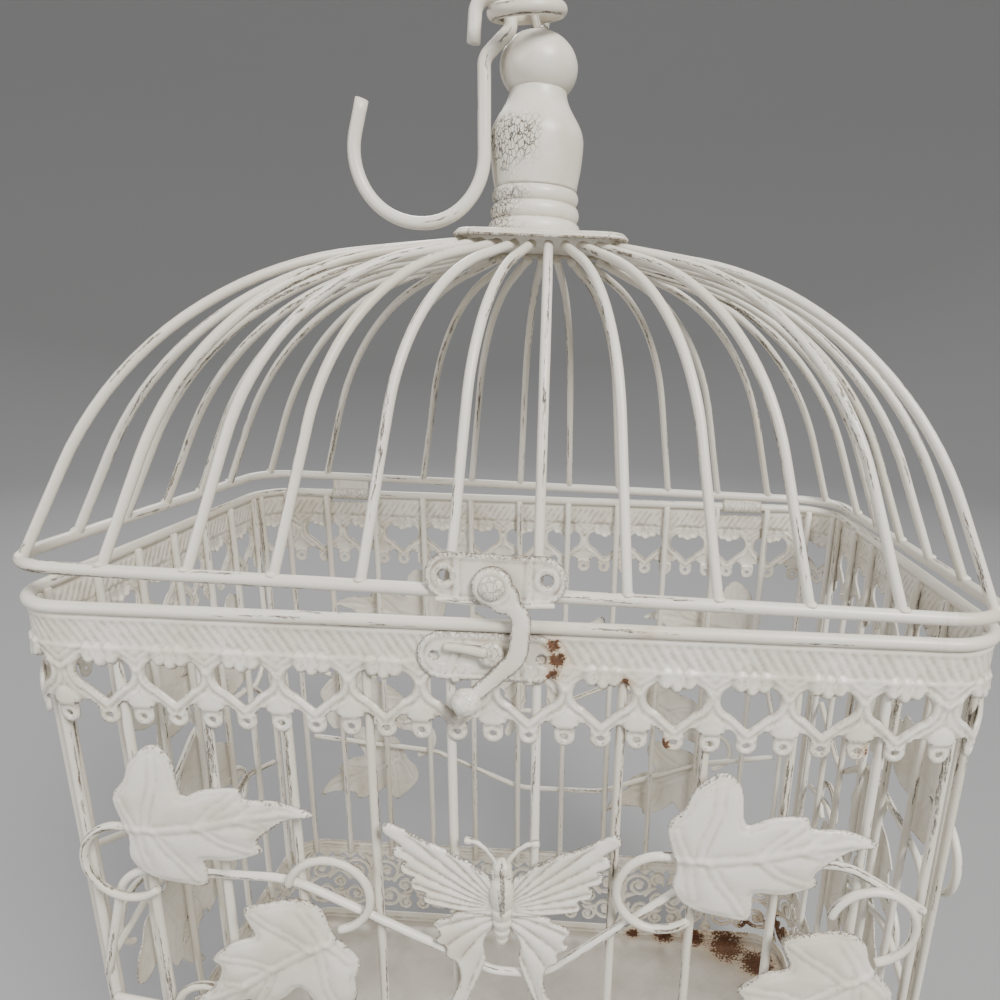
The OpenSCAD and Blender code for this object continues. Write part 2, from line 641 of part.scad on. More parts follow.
base_frame();
feet();
floor_panel();
scroll_band_front();
scroll_band_back();
scroll_band_left();
scroll_band_right();
scroll_band_corners();
bars_front();
bars_back();
bars_left();
bars_right();
bars_corner();
rim_frame();
heart_band_front();
heart_band_back();
heart_band_left();
heart_band_right();
heart_band_corners();
vine_front();
vine_back();
vine_left();
vine_right();
tendrils_front();
tendrils_back();
tendrils_left();
tendrils_right();
leaves_front();
leaves_back();
leaves_left();
leaves_right();
butterfly_front();
butterfly_back();
keeper_plate();
keeper_peg();
lid_frame();
ribs_front();
ribs_back();
ribs_left();
ribs_right();
ribs_corner();
crown_plate();
finial();
screw_eye();
latch_plate();
latch_rivet();
hinge_sleeves();
latch_lever();
hanging_ring();
hanging_hook();
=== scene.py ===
import math

import bpy
import numpy as np
from mathutils import Matrix, Vector


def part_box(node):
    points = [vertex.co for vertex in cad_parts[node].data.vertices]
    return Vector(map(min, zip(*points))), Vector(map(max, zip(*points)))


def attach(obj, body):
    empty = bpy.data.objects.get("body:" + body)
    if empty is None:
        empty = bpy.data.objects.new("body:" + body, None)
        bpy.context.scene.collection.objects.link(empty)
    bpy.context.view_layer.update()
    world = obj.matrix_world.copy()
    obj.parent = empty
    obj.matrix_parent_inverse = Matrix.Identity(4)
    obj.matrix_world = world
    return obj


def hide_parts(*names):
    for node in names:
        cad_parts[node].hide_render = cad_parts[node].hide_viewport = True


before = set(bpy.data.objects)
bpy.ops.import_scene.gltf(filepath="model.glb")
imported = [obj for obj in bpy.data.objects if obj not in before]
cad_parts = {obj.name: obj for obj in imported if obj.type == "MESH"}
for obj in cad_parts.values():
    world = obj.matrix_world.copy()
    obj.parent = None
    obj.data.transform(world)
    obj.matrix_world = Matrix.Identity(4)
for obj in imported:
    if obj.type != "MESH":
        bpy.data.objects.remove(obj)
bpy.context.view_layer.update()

# A domed wire bird cage in worn cream paint. Sizes are in millimetres and become metres
# when a piece is made. The front wall faces -Y. A wall drawing has x along the wall, z up
# and n outward from the middle of the rim wire.
MM = 0.001
FULL_TURN = 2*math.pi
rng = np.random.default_rng(7)


# ---------- driving sizes, read from the frame ----------

def box_mm(node):
    """Lowest and highest corner of a CAD node, in millimetres."""
    low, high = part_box(node)
    return np.array(low)/MM, np.array(high)/MM


rim_low, rim_high = box_mm("rim_frame")
RIM_WIRE = rim_high[2] - rim_low[2]
CAGE_W = rim_high[0] - rim_low[0] - RIM_WIRE
CAGE_D = rim_high[1] - rim_low[1] - RIM_WIRE
RIM_Z = (rim_high[2] + rim_low[2])/2
BASE_Z = (box_mm("base_frame")[0][2] + box_mm("base_frame")[1][2])/2
CORNER_R = 16.0     # to the middle of the rim wire
SCROLL_LOW = box_mm("scroll_band_front")[0][2]
SCROLL_TOP = box_mm("scroll_band_front")[1][2]
FLOOR_LOW, FLOOR_TOP = box_mm("floor_panel")[0][2], box_mm("floor_panel")[1][2]
FRONT_RUN = CAGE_W - 2*CORNER_R
SIDE_RUN = CAGE_D - 2*CORNER_R
ARC = math.pi/2*CORNER_R
PERIMETER = 2*FRONT_RUN + 2*SIDE_RUN + 4*ARC

BAR_WIRE = 2.5
BAR_IN = 1.5        # how far the bars stand inside the rim
FRONT_BARS, FRONT_PITCH = 10, 21.5
SIDE_BARS, SIDE_PITCH = 7, 20.0
FRONT_HEARTS, SIDE_HEARTS = 12, 6
RIB_WIRE = 2.6
SIDE_RIBS = 5
CROWN_X, CROWN_Z, CROWN_W, CROWN_D, CROWN_T = 3.5, 92.8, 50.0, 46.0, 2.0
LID_GAP = 6.1       # from the body rim up to the lid rim at the hinge
LID_PITCH, LID_ROLL = math.radians(-0.84), math.radians(0.96)
BALL_R, BALL_H, BALL_Z = 11.3, 9.2, 141.0
EYE_Z, EYE_R, EYE_WIRE = 154.1, 4.1, 2.2
HOOK_WIRE, RING_R = 3.8, 9.2
RING_TURN, RING_TILT = math.radians(18), math.radians(15)
LATCH_X, LATCH_Z = 0.4, 8.9
LEVER_T = 1.6
LEVER_GRIP_R = 3.8
LEVER_Y = -CAGE_D/2 - 3.35
VINE_WIRE, VINE_N = 2.4, 0.85
LEAF_N = 2.7        # how far out the leaf stems lie
LEAF_T = 0.6
LEAF_SIZE = 1.1     # 1 gives a leaf 48 mm long
SLEEVE_LENGTH = 16.0
FOOT_R = 7.0


# ---------- turning and placing ----------

def rot_x(a):
    return np.array([[1, 0, 0], [0, math.cos(a), -math.sin(a)], [0, math.sin(a), math.cos(a)]])


def rot_y(a):
    return np.array([[math.cos(a), 0, math.sin(a)], [0, 1, 0], [-math.sin(a), 0, math.cos(a)]])


def rot_z(a):
    return np.array([[math.cos(a), -math.sin(a), 0], [math.sin(a), math.cos(a), 0], [0, 0, 1]])


LID_TURN = rot_y(LID_ROLL) @ rot_x(LID_PITCH)


def lid_seat(points):
    """Moves points of a level lid, with z from the rim, to where the lid rests."""
    hinge = np.array([0, CAGE_D/2, 0])
    return (np.asarray(points, float) - hinge) @ LID_TURN.T + hinge + [0, 0, RIM_Z]


def on_wall(wall, x, z, n):
    """Row-frame points of a wall drawing: x along the wall, z up, n outward from the rim."""
    x, z, n = np.broadcast_arrays(x, z, n)
    if wall == "front":
        return np.stack([x, -CAGE_D/2 - n, z], -1)
    if wall == "back":
        return np.stack([-x, CAGE_D/2 + n, z], -1)
    if wall == "right":
        return np.stack([CAGE_W/2 + n, x, z], -1)
    return np.stack([-CAGE_W/2 - n, -x, z], -1)


def perimeter_point(s, z, n):
    """Row-frame points at distance s round the cage from the middle of the front."""
    s = (np.asarray(s, float) + PERIMETER/2) % PERIMETER - PERIMETER/2
    s, z, n = np.broadcast_arrays(s, z, n)
    out = np.zeros(s.shape + (3,))
    out[..., 2] = z
    start = -FRONT_RUN/2
    t = np.where(s < start, s + PERIMETER, s)
    walls = [((0, -CAGE_D/2), FRONT_RUN, (1, -1)), ((CAGE_W/2, 0), SIDE_RUN, (1, 1)),
             ((0, CAGE_D/2), FRONT_RUN, (-1, 1)), ((-CAGE_W/2, 0), SIDE_RUN, (-1, -1))]
    for k, (middle, run, (sx, sy)) in enumerate(walls):
        here = (t >= start) & (t <= start + run + 1e-9)
        c, d = math.cos(k*FULL_TURN/4), math.sin(k*FULL_TURN/4)
        along = t - start - run/2
        out[..., 0] = np.where(here, middle[0] + along*c + n*d, out[..., 0])
        out[..., 1] = np.where(here, middle[1] + along*d - n*c, out[..., 1])
        start += run
        here = (t > start) & (t < start + ARC + 1e-9)
        a = (k - 1)*FULL_TURN/4 + (t - start)/CORNER_R
        out[..., 0] = np.where(here, sx*FRONT_RUN/2 + (CORNER_R + n)*np.cos(a), out[..., 0])
        out[..., 1] = np.where(here, sy*SIDE_RUN/2 + (CORNER_R + n)*np.sin(a), out[..., 1])
        start += ARC
    return out


# ---------- meshes ----------

# Places where the paint has rusted through: centre in the row frame, and size
RUST_SPOTS = [
    ((15.2, -76.6, RIM_Z - 4), 2.8), ((16.2, -76.6, RIM_Z - 8), 3.2), ((15.2, -76.6, RIM_Z - 12), 2.4),
    ((33, -75.5, RIM_Z - 13.4), 1.8), ((43, -75.5, RIM_Z - 29.6), 2.3),
    ((94, -75.5, RIM_Z - 29.4), 2.3),
    ((36, -77, RIM_Z), 2.0), ((119, -68, RIM_Z - 3), 2.0), ((117, -69, RIM_Z - 19), 2.6),
    ((116, -66, RIM_Z + 6), 2.2), ((98, 70, FLOOR_TOP), 13), ((82, 74, FLOOR_TOP), 8),
    ((66, 75, FLOOR_TOP), 7),
    ((50, 75.5, FLOOR_TOP), 5), ((112, 60, FLOOR_TOP), 12), ((119, 40, FLOOR_TOP), 7),
    ((-114, 66, FLOOR_TOP), 6),
    ((119, 66, SCROLL_LOW + 16), 12), ((108, 73, SCROLL_LOW + 10), 7),
]


def rust_at(points):
    """How rusted each point is, from 0 to 1."""
    amount = np.zeros(len(points))
    for centre, size in RUST_SPOTS:
        gap = np.linalg.norm(points - np.array(centre), axis=1)
        amount = np.maximum(amount, np.exp(-(gap/size)**2))
    return amount


class Shape:
    """Collects vertices, faces, paint wear, soiling with painted shade in hollows, and grain coordinates of
    one piece.
    """

    def __init__(self):
        self.points, self.faces, self.wear, self.grime, self.grain = [], [], [], [], []
        self.count = 0

    def add(self, points, faces, wear=0.0, grime=0.0, grain=None):
        points = np.asarray(points, float).reshape(-1, 3)
        n = len(points)
        self.points.append(points)
        for block in faces:
            self.faces.extend((np.asarray(block) + self.count).tolist())
        self.wear.append(np.broadcast_to(wear, n))
        self.grime.append(np.broadcast_to(grime, n))
        self.grain.append(points if grain is None else np.asarray(grain, float))
        self.count += n

    def make(self, name, body, material, replaces):
        """The finished piece, riding on its body and standing for its CAD nodes."""
        points = np.concatenate(self.points)
        mesh = bpy.data.meshes.new(name)
        mesh.from_pydata((points*MM).tolist(), [], self.faces)
        mesh.polygons.foreach_set("use_smooth", [True]*len(mesh.polygons))
        # marks holds wear, rust, and soiling with painted shade in hollows.
        marks = np.stack([np.concatenate(self.wear), rust_at(points),
                          np.concatenate(self.grime), np.ones(len(points))], 1)
        attribute = mesh.attributes.new("marks", "FLOAT_COLOR", "POINT")
        attribute.data.foreach_set("color", np.clip(marks, 0, 1).astype(np.float32).ravel())
        attribute = mesh.attributes.new("grain", "FLOAT_VECTOR", "POINT")
        attribute.data.foreach_set("vector", np.concatenate(self.grain).astype(np.float32).ravel())
        mesh.materials.append(material)
        mesh.update()
        piece = bpy.data.objects.new(name, mesh)
        bpy.context.scene.collection.objects.link(piece)
        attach(piece, body)
        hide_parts(*replaces)


def unit(v):
    return v/np.linalg.norm(v)


def units(rows):
    return rows/np.linalg.norm(rows, axis=1)[:, None]


def bent_path(corners, radii, step=6.0):
    """A path through corners, with every bend as an arc in steps of step degrees."""
    corners = [np.asarray(c, float) for c in corners]
    path = [corners[0]]
    for i in range(1, len(corners) - 1):
        u, w = unit(corners[i] - corners[i-1]), unit(corners[i+1] - corners[i])
        turn = math.acos(float(np.clip(u @ w, -1, 1)))
        if turn < 1e-4:
            continue
        side = unit(w - u*(u @ w))
        leg = radii[i]*math.tan(turn/2)
        start = corners[i] - u*leg
        centre = start + side*radii[i]
        steps = max(2, math.ceil(math.degrees(turn)/step))
        for k in range(steps + 1):
            a = turn*k/steps
            path.append(centre - side*radii[i]*math.cos(a) + u*radii[i]*math.sin(a))
    path.append(corners[-1])
    return np.array(path)


def resample(path, spacing, closed=False):
    """The same path with a point at least every spacing."""
    path = np.asarray(path, float)
    if closed:
        path = np.vstack([path, path[:1]])
    out = []
    for a, b in zip(path[:-1], path[1:]):
        pieces = max(1, math.ceil(np.linalg.norm(b - a)/spacing))
        out.extend(a + (b - a)*k/pieces for k in range(pieces))
    if not closed:
        out.append(path[-1])
    return np.array(out)


def arc_path(centre, radius, start, sweep, x_axis, y_axis, steps):
    """Points of an arc in the plane of two unit axes; angles in degrees."""
    a = np.radians(start + sweep*np.arange(steps + 1)/steps)[:, None]
    return np.asarray(centre) + radius*(np.cos(a)*np.asarray(x_axis) + np.sin(a)*np.asarray(y_axis))


STREAK_NARROWNESS = 22
GRAIN_STRETCH = 0.16     # lets the paint's specks run long along a wire


def tube(shape, path, radius, sides, closed=False, wear=0.35, dents=0.02, ends="round"):
    """Adds a round wire along a path, with long worn streaks and slightly uneven paint."""
    path = np.asarray(path, float)
    n = len(path)
    radius = np.broadcast_to(radius, n).astype(float)
    if not closed and ends == "round":
        t0, t1 = unit(path[1] - path[0]), unit(path[-1] - path[-2])
        first, last = radius[0], radius[-1]
        steps = np.radians([8, 35, 62])
        front = [path[0] - t0*first*0.35*math.cos(a) for a in steps]
        back = [path[-1] + t1*last*0.35*math.cos(a) for a in steps[::-1]]
        path = np.vstack([front, path, back])
        radius = np.concatenate([first*np.sin(steps), radius, last*np.sin(steps[::-1])])
        n = len(path)
    after = np.roll(path, -1, 0) - path
    before = path - np.roll(path, 1, 0)
    if not closed:
        after[-1], before[0] = before[-1], after[0]
    tangent = units(units(before) + units(after))
    guess = np.array([0, 0, 1.0]) if abs(tangent[0][2]) < 0.9 else np.array([1.0, 0, 0])
    normal = unit(np.cross(tangent[0], guess))
    normals = [normal]
    for t in tangent[1:]:
        normal = unit(normal - t*(normal @ t))
        normals.append(normal)
    normals = np.array(normals)
    binormals = np.cross(tangent, normals)
    if closed:
        start, end = normals[0], normals[-1]
        end = unit(end - tangent[0]*(end @ tangent[0]))
        gap = math.atan2(np.cross(end, start) @ tangent[0], end @ start)
        turn = gap*np.arange(n)/n
        normals, binormals = (normals*np.cos(turn)[:, None] + binormals*np.sin(turn)[:, None],
                              binormals*np.cos(turn)[:, None] - normals*np.sin(turn)[:, None])
    along = np.concatenate([[0], np.cumsum(np.linalg.norm(np.diff(path, axis=0), axis=1))])
    a = FULL_TURN*np.arange(sides)/sides
    phase = rng.uniform(0, FULL_TURN, 4)
    uneven = 1 - dents*(0.5 + 0.5*np.sin(along[:, None]*0.31 + phase[0] + 1.7*np.sin(a + phase[1])))
    ring = (normals[:, None]*np.cos(a)[None, :, None] + binormals[:, None]*np.sin(a)[None, :, None])
    points = path[:, None] + ring*(radius[:, None]*uneven)[..., None]
    streak = np.zeros((n, sides))
    for _ in range(3 + int(along[-1]/20)):
        side, where, length = rng.uniform(0, FULL_TURN), rng.uniform(0, along[-1]), rng.uniform(5, 26)
        swing = np.cos(a[None] - side - 0.25*np.sin(along[:, None]*0.09))
        narrow = np.exp(-((1 - swing)*STREAK_NARROWNESS))
        streak = np.maximum(streak, narrow*np.exp(-((along[:, None] - where)/length)**2))
    grain = np.stack([np.broadcast_to(radius[:, None]*np.cos(a), (n, sides)),
                      np.broadcast_to(radius[:, None]*np.sin(a), (n, sides)),
                      np.broadcast_to(along[:, None]*GRAIN_STRETCH, (n, sides))], -1) + rng.uniform(0, 400, 3)
    i = np.arange(n if closed else n - 1)[:, None]*sides
    k = np.arange(sides)[None]
    m = (k + 1) % sides
    j = (i + sides) % (n*sides)
    quads = np.stack([i + k, i + m, j + m, j + k], -1).reshape(-1, 4)
    faces = [quads]
    if not closed:
        faces += [np.arange(sides)[None, ::-1], ((n - 1)*sides + np.arange(sides))[None]]
    worn = np.clip(wear*(0.3 + 1.9*streak), 0, 1).ravel()
    shape.add(points, faces, worn, 0, grain.reshape(-1, 3))


def lathe(shape, profile, place, segments=72, wear=0.3, ripple=None):
    """Adds a turned solid from (radius, height) pairs that run from the bottom to the top."""
    profile = np.asarray(profile, float)
    n = len(profile)
    a = FULL_TURN*np.arange(segments)/segments
    r = np.maximum(profile[:, :1], 0.02)*np.ones_like(a)
    if ripple is not None:
        r = r*ripple(a[None], profile[:, 1:])
    points = np.stack([r*np.cos(a), r*np.sin(a), profile[:, 1:]*np.ones_like(a)], -1).reshape(-1, 3)
    i = np.arange(n - 1)[:, None]*segments
    k = np.arange(segments)[None]
    m = (k + 1) % segments
    quads = np.stack([i + k, i + m, i + segments + m, i + segments + k], -1).reshape(-1, 4)
    caps = [np.arange(segments)[None, ::-1], ((n - 1)*segments + np.arange(segments))[None]]
    shape.add(place(points), [quads, *caps], wear)


def blob(shape, centre, size, wear=0.45):
    """Adds an uneven rounded lump, such as a spot of weld under paint."""
    size = np.broadcast_to(size, 3)
    a = np.linspace(-math.pi/2, math.pi/2, 9)
    profile = np.stack([np.cos(a), np.sin(a)], 1)
    phase = rng.uniform(0, FULL_TURN, 2)

    def put(points):
        lumpy = 1 + 0.06*np.sin(3*points[:, :1]*2 + phase[0]) + 0.05*np.sin(5*points[:, 2:] + phase[1])
        return points*lumpy*size + np.asarray(centre)

    lathe(shape, profile, put, 16, wear)


# ---------- stamped sheet ----------

def cut_grid(us, vs, field):
    """Faces that fill the region where field is negative, cut where its edge crosses each cell."""
    inside = field < 0
    ids = np.full(field.shape, -1)
    ids[inside] = np.arange(inside.sum())
    gu, gv = np.meshgrid(us, vs, indexing="ij")
    points = [np.stack([gu[inside], gv[inside]], 1)]
    count = inside.sum()

    def crossings(low, high, pu, pv, qu, qv, count):
        crosses = (low < 0) != (high < 0)
        cross_ids = np.full(low.shape, -1)
        cross_ids[crosses] = count + np.arange(crosses.sum())
        t = np.clip((low/np.where(low == high, 1, low - high))[crosses], 0.04, 0.96)[:, None]
        p = np.stack([pu[crosses], pv[crosses]], 1)
        q = np.stack([qu[crosses], qv[crosses]], 1)
        points.append(p + (q - p)*t)
        return cross_ids, count + crosses.sum()

    cu, count = crossings(field[:-1], field[1:], gu[:-1], gv[:-1], gu[1:], gv[1:], count)
    cv, count = crossings(field[:, :-1], field[:, 1:], gu[:, :-1], gv[:, :-1], gu[:, 1:], gv[:, 1:],
                          count)
    corner = [ids[:-1, :-1], ids[1:, :-1], ids[1:, 1:], ids[:-1, 1:]]
    edge = [cu[:, :-1], cv[1:], cu[:, 1:], cv[:-1]]
    code = sum((corner[k] >= 0).astype(int) << k for k in range(4))
    faces = []
    for case in range(1, 16):
        cells = code == case
        if not cells.any():
            continue
        ring = []
        for k in range(4):
            here, there = case >> k & 1, case >> (k + 1) % 4 & 1
            if here:
                ring.append(corner[k][cells])
            if here != there:
                ring.append(edge[k][cells])
        faces.append(np.stack(ring, 1))
    return np.concatenate(points), faces


CURVE_TO_WEAR = 9
EDGE_WEAR_WIDTH = 0.55
EDGE_ROUNDING = 0.62     # how much of its thickness a sheet keeps at its very edge


def stamped(shape, us, vs, field, relief, thickness, place, edge_wear, ridge_wear, lift=0.0,
            hollow=True, grime_and_shade_amount=1.0):
    """Adds pressed sheet: field(u, v) < 0 is metal, relief(u, v) is how far it is pressed out.

    A hollow sheet follows the relief on its back too; the wear and the hollow-darkening amount say how worn
    its edges and ridges are and how much soiling and painted shade darken its hollows."""
    gu, gv = np.meshgrid(us, vs, indexing="ij")
    points, faces = cut_grid(us, vs, field(gu, gv))
    n = len(points)
    u, v = points[:, 0], points[:, 1]
    out = relief(u, v)
    step = (us[1] - us[0])*2
    around = (relief(u + step, v) + relief(u - step, v) + relief(u, v + step) + relief(u, v - step))/4
    proud = np.clip((out - around)*CURVE_TO_WEAR, -1, 1)
    depth = -field(u, v)
    wear = ridge_wear*np.clip(proud, 0, 1) + edge_wear*bump(depth, EDGE_WEAR_WIDTH)
    # Hollows, where the relief dips below its surroundings, get soiling together with painted shade.
    grime = grime_and_shade_amount*np.clip(-proud, 0, 1)
    pairs = np.concatenate([np.stack([f[:, k], np.roll(f, -1, 1)[:, k]], 1)
                            for f in faces for k in range(f.shape[1])])
    forward, backward = pairs[:, 0]*n + pairs[:, 1], pairs[:, 1]*n + pairs[:, 0]
    rim = pairs[~np.isin(forward, backward)]
    front, back = lift + out + thickness, lift + (out if hollow else np.zeros(n))
    on_rim = np.zeros(n, bool)
    on_rim[rim.ravel()] = True
    front = np.where(on_rim, back + EDGE_ROUNDING*(front - back), front)
    everything = np.concatenate([place(u, v, front), place(u, v, back)])
    walls = np.stack([rim[:, 0], rim[:, 0] + n, rim[:, 1] + n, rim[:, 1]], 1)
    faces = [*faces, *[f[:, ::-1] + n for f in faces], walls]
    shape.add(everything, faces, np.tile(wear, 2), np.tile(grime, 2), everything)


def grid(low, high, step):
    return np.linspace(low, high, max(2, int(round((high - low)/step)) + 1))


def bump(d, width):
    return np.exp(-(d/width)**2)


def circle_field(u, v, x, y, r):
    return np.hypot(u - x, v - y) - r


def box_field(u, v, x, y, w, h, r=0.0):
    du, dv = np.abs(u - x) - w/2 + r, np.abs(v - y) - h/2 + r
    return np.hypot(np.maximum(du, 0), np.maximum(dv, 0)) + np.minimum(np.maximum(du, dv), 0) - r


def stadium_field(u, v, x, y, w, r):
    return np.hypot(np.maximum(np.abs(u - x) - w/2, 0), v - y) - r


def line_field(u, v, line):
    """Distance to a polyline, and how far along it the nearest point is."""
    line = np.asarray(line, float)
    shape = np.shape(u)
    p = np.stack([np.ravel(u), np.ravel(v)], 1)
    best, where, run = np.full(len(p), 1e9), np.zeros(len(p)), 0.0
    for a, b in zip(line[:-1], line[1:]):
        length = max(np.linalg.norm(b - a), 1e-9)
        t = np.clip((p - a) @ (b - a)/length**2, 0, 1)
        d = np.linalg.norm(p - a - t[:, None]*(b - a), axis=1)
        closer = d < best
        best[closer], where[closer] = d[closer], run + t[closer]*length
        run += length
    return best.reshape(shape), where.reshape(shape)


def polygon_field(u, v, outline):
    """Signed distance to a closed outline, negative inside."""
    outline = np.asarray(outline, float)
    d, _ = line_field(u, v, np.vstack([outline, outline[:1]]))
    px, py = np.ravel(u), np.ravel(v)
    inside = np.zeros(len(px), bool)
    for a, b in zip(outline, np.roll(outline, -1, 0)):
        crosses = ((a[1] > py) != (b[1] > py))
        x = a[0] + (py - a[1])*(b[0] - a[0])/(b[1] - a[1] if b[1] != a[1] else 1e-9)
        inside ^= crosses & (px < x)
    return np.where(inside.reshape(np.shape(u)), -d, d)


def smooth_outline(corners, steps=4):
    """Closed smooth curve through a few points."""
    p = np.asarray(corners, float)
    t = (np.arange(steps)/steps)[None, :, None]
    a, b, c, d = (np.roll(p, k, 0)[:, None] for k in (1, 0, -1, -2))
    curve = 0.5*(2*b + (c - a)*t + (2*a - 5*b + 4*c - d)*t**2 + (3*b - a - 3*c + d)*t**3)
    return curve.reshape(-1, 2)


# ---------- materials ----------

CREAM = (0.745, 0.712, 0.635, 1)
CREAM_DULL = (0.640, 0.590, 0.490, 1)
UNDERCOAT = (0.035, 0.028, 0.022, 1)
EARTH = (0.20, 0.145, 0.095, 1)
RUST_DARK = (0.050, 0.024, 0.014, 1)
RUST_BRIGHT = (0.30, 0.125, 0.045, 1)
RUST_STAIN = (0.50, 0.34, 0.19, 1)


class Nodes:
    """Short ways to add and link shader nodes."""

    def __init__(self, name):
        self.material = bpy.data.materials.new(name)
        self.material.use_nodes = True
        self.tree = self.material.node_tree
        self.shader = self.tree.nodes["Principled BSDF"]

    def node(self, kind, **inputs):
        made = self.tree.nodes.new(kind)
        for key, value in inputs.items():
            self.put(value, made.inputs[key])
        return made

    def put(self, value, socket):
        """Links the value to the socket, or sets it there if it is a constant."""
        if isinstance(value, bpy.types.NodeSocket):
            self.tree.links.new(value, socket)
        else:
            socket.default_value = value

    def math(self, operation, a, b, clamp=False):
        made = self.tree.nodes.new("ShaderNodeMath")
        made.operation = operation
        made.use_clamp = clamp
        self.put(a, made.inputs[0])
        self.put(b, made.inputs[1])
        return made.outputs[0]

    def times(self, a, b):
        return self.math("MULTIPLY", a, b)

    def plus(self, a, b, clamp=False):
        return self.math("ADD", a, b, clamp)

    def minus(self, a, b):
        return self.math("SUBTRACT", a, b)

    def noise(self, vector, scale, detail=3.0, rough=0.55):
        return self.node("ShaderNodeTexNoise", Vector=vector, Scale=scale, Detail=detail,
                         Roughness=rough).outputs["Fac"]

    def step(self, value, low, high):
        made = self.node("ShaderNodeMapRange", Value=value)
        made.interpolation_type = "SMOOTHSTEP"
        made.inputs["From Min"].default_value = low
        made.inputs["From Max"].default_value = high
        return made.outputs["Result"]

    def mix(self, factor, a, b):
        made = self.tree.nodes.new("ShaderNodeMix")
        made.data_type = "RGBA"
        for value, socket in zip((factor, a, b), [s for s in made.inputs if s.enabled]):
            self.put(value, socket)
        return [s for s in made.outputs if s.enabled][0]


def worn_paint(name, base=CREAM, dull=CREAM_DULL, chips=0.5, gloss=0.36, crackle=0.0, lumps=0.5):
    """Cream brushed paint, rubbed through to dark undercoat along edges, with soiling and painted shade
    darkening the hollows, and rust.

    The grain attribute is in millimetres, so a noise scale is in features per millimetre.
    Chips says how readily worn paint is rubbed through, crackle how strongly it has cracked,
    and lumps how deep the brush marks are."""
    n = Nodes(name)
    grain = n.node("ShaderNodeAttribute")
    grain.attribute_name = "grain"
    where = grain.outputs["Vector"]
    marks = n.node("ShaderNodeAttribute")
    marks.attribute_name = "marks"
    split = n.node("ShaderNodeSeparateColor", Color=marks.outputs["Color"])
    wear, rust, grime = split.outputs[0], split.outputs[1], split.outputs[2]
    cloud = n.noise(where, 0.055, 3)
    blotch = n.noise(where, 0.33, 4, 0.6)
    brush = n.noise(where, 2.6, 3, 0.6)
    speck = n.noise(where, 1.55, 7, 0.72)
    fine = n.noise(where, 5.5, 4, 0.65)
    colour = n.mix(n.step(cloud, 0.38, 0.72), base, dull)
    colour = n.mix(n.times(n.step(blotch, 0.5, 0.78), 0.32), colour, dull)
    # Painted shade and soiling: hollows are darkened towards earth brown.
    grime_and_shade_cover = n.times(n.times(grime, n.step(blotch, 0.3, 0.62)), 0.75)
    colour = n.mix(grime_and_shade_cover, colour, EARTH)
    reach = n.plus(n.times(wear, 0.30), n.times(speck, 0.75))
    reach = n.plus(reach, n.times(n.minus(cloud, 0.5), 0.22))
    rubbed = n.step(reach, 0.66 - 0.1*chips, 0.72 - 0.1*chips)
    rubbed = n.times(rubbed, n.step(fine, 0.36, 0.56))
    height = n.times(brush, 0.25*lumps)
    if crackle > 0:
        stretched = n.node("ShaderNodeMapping", Vector=where)
        stretched.inputs["Scale"].default_value = (0.95, 0.95, 0.55)
        warped = n.node("ShaderNodeVectorMath")
        warped.operation = "ADD"
        n.put(stretched.outputs[0], warped.inputs[0])
        swirl = n.node("ShaderNodeTexNoise", Vector=where, Scale=0.8, Detail=2.0)
        n.put(swirl.outputs["Color"], warped.inputs[1])
        cells = n.node("ShaderNodeTexVoronoi", Vector=warped.outputs[0], Scale=0.85)
        cells.feature = "DISTANCE_TO_EDGE"
        crack = n.minus(1.0, n.step(cells.outputs["Distance"], 0.02, 0.10))
        aged = n.plus(n.times(cloud, 0.6), n.times(wear, 0.5))
        patch = n.step(aged, 0.42, 0.62)
        crack = n.times(n.times(crack, patch), crackle)
        rubbed = n.math("MAXIMUM", rubbed, n.times(crack, n.step(speck, 0.3, 0.5)))
        height = n.minus(height, n.times(crack, 0.8))
    colour = n.mix(rubbed, colour, n.mix(n.step(fine, 0.45, 0.7), UNDERCOAT, EARTH))
    eaten = n.noise(where, 0.85, 5, 0.68)
    ragged = n.plus(n.times(eaten, 1.5), n.times(blotch, 0.5))
    stained = n.plus(rust, ragged)
    colour = n.mix(n.times(n.step(stained, 1.1, 1.75), 0.6), colour, RUST_STAIN)
    rusty = n.step(stained, 1.62, 1.74)
    colour = n.mix(rusty, colour, n.mix(n.step(fine, 0.46, 0.66), RUST_DARK, RUST_BRIGHT))
    n.put(colour, n.shader.inputs["Base Color"])
    bare = n.math("MAXIMUM", rubbed, rusty)
    rough = n.plus(n.times(blotch, 0.18), gloss - 0.06)
    n.put(n.plus(rough, n.times(bare, 0.38), True), n.shader.inputs["Roughness"])
    height = n.minus(height, n.times(bare, 0.55))
    height = n.plus(height, n.times(n.times(rusty, fine), 0.6))
    relief = n.node("ShaderNodeBump", Height=height, Strength=0.75, Distance=0.00022)
    n.put(relief.outputs[0], n.shader.inputs["Normal"])
    return n.material


def stage_material():
    """A plain pale matt surface."""
    n = Nodes("stage_pale")
    n.shader.inputs["Base Color"].default_value = (0.30, 0.30, 0.305, 1)
    n.shader.inputs["Roughness"].default_value = 0.9
    return n.material


WIRE = worn_paint("wire_paint", chips=0.62, lumps=0.5)
SHEET = worn_paint("sheet_paint", chips=0.42, gloss=0.33, lumps=0.35)
TRIM = worn_paint("trim_paint", chips=0.62, gloss=0.34, lumps=0.4)
HARDWARE = worn_paint("hardware_paint", chips=0.45, gloss=0.34, crackle=0.5, lumps=0.9)
WOOD = worn_paint("finial_paint", chips=-0.1, gloss=0.34, crackle=1.0, lumps=0.6)
TIN = worn_paint("floor_paint", base=(0.50, 0.465, 0.405, 1), dull=(0.42, 0.385, 0.33, 1), chips=0.1,
                 gloss=0.42, lumps=0.2)


# ---------- body wires ----------

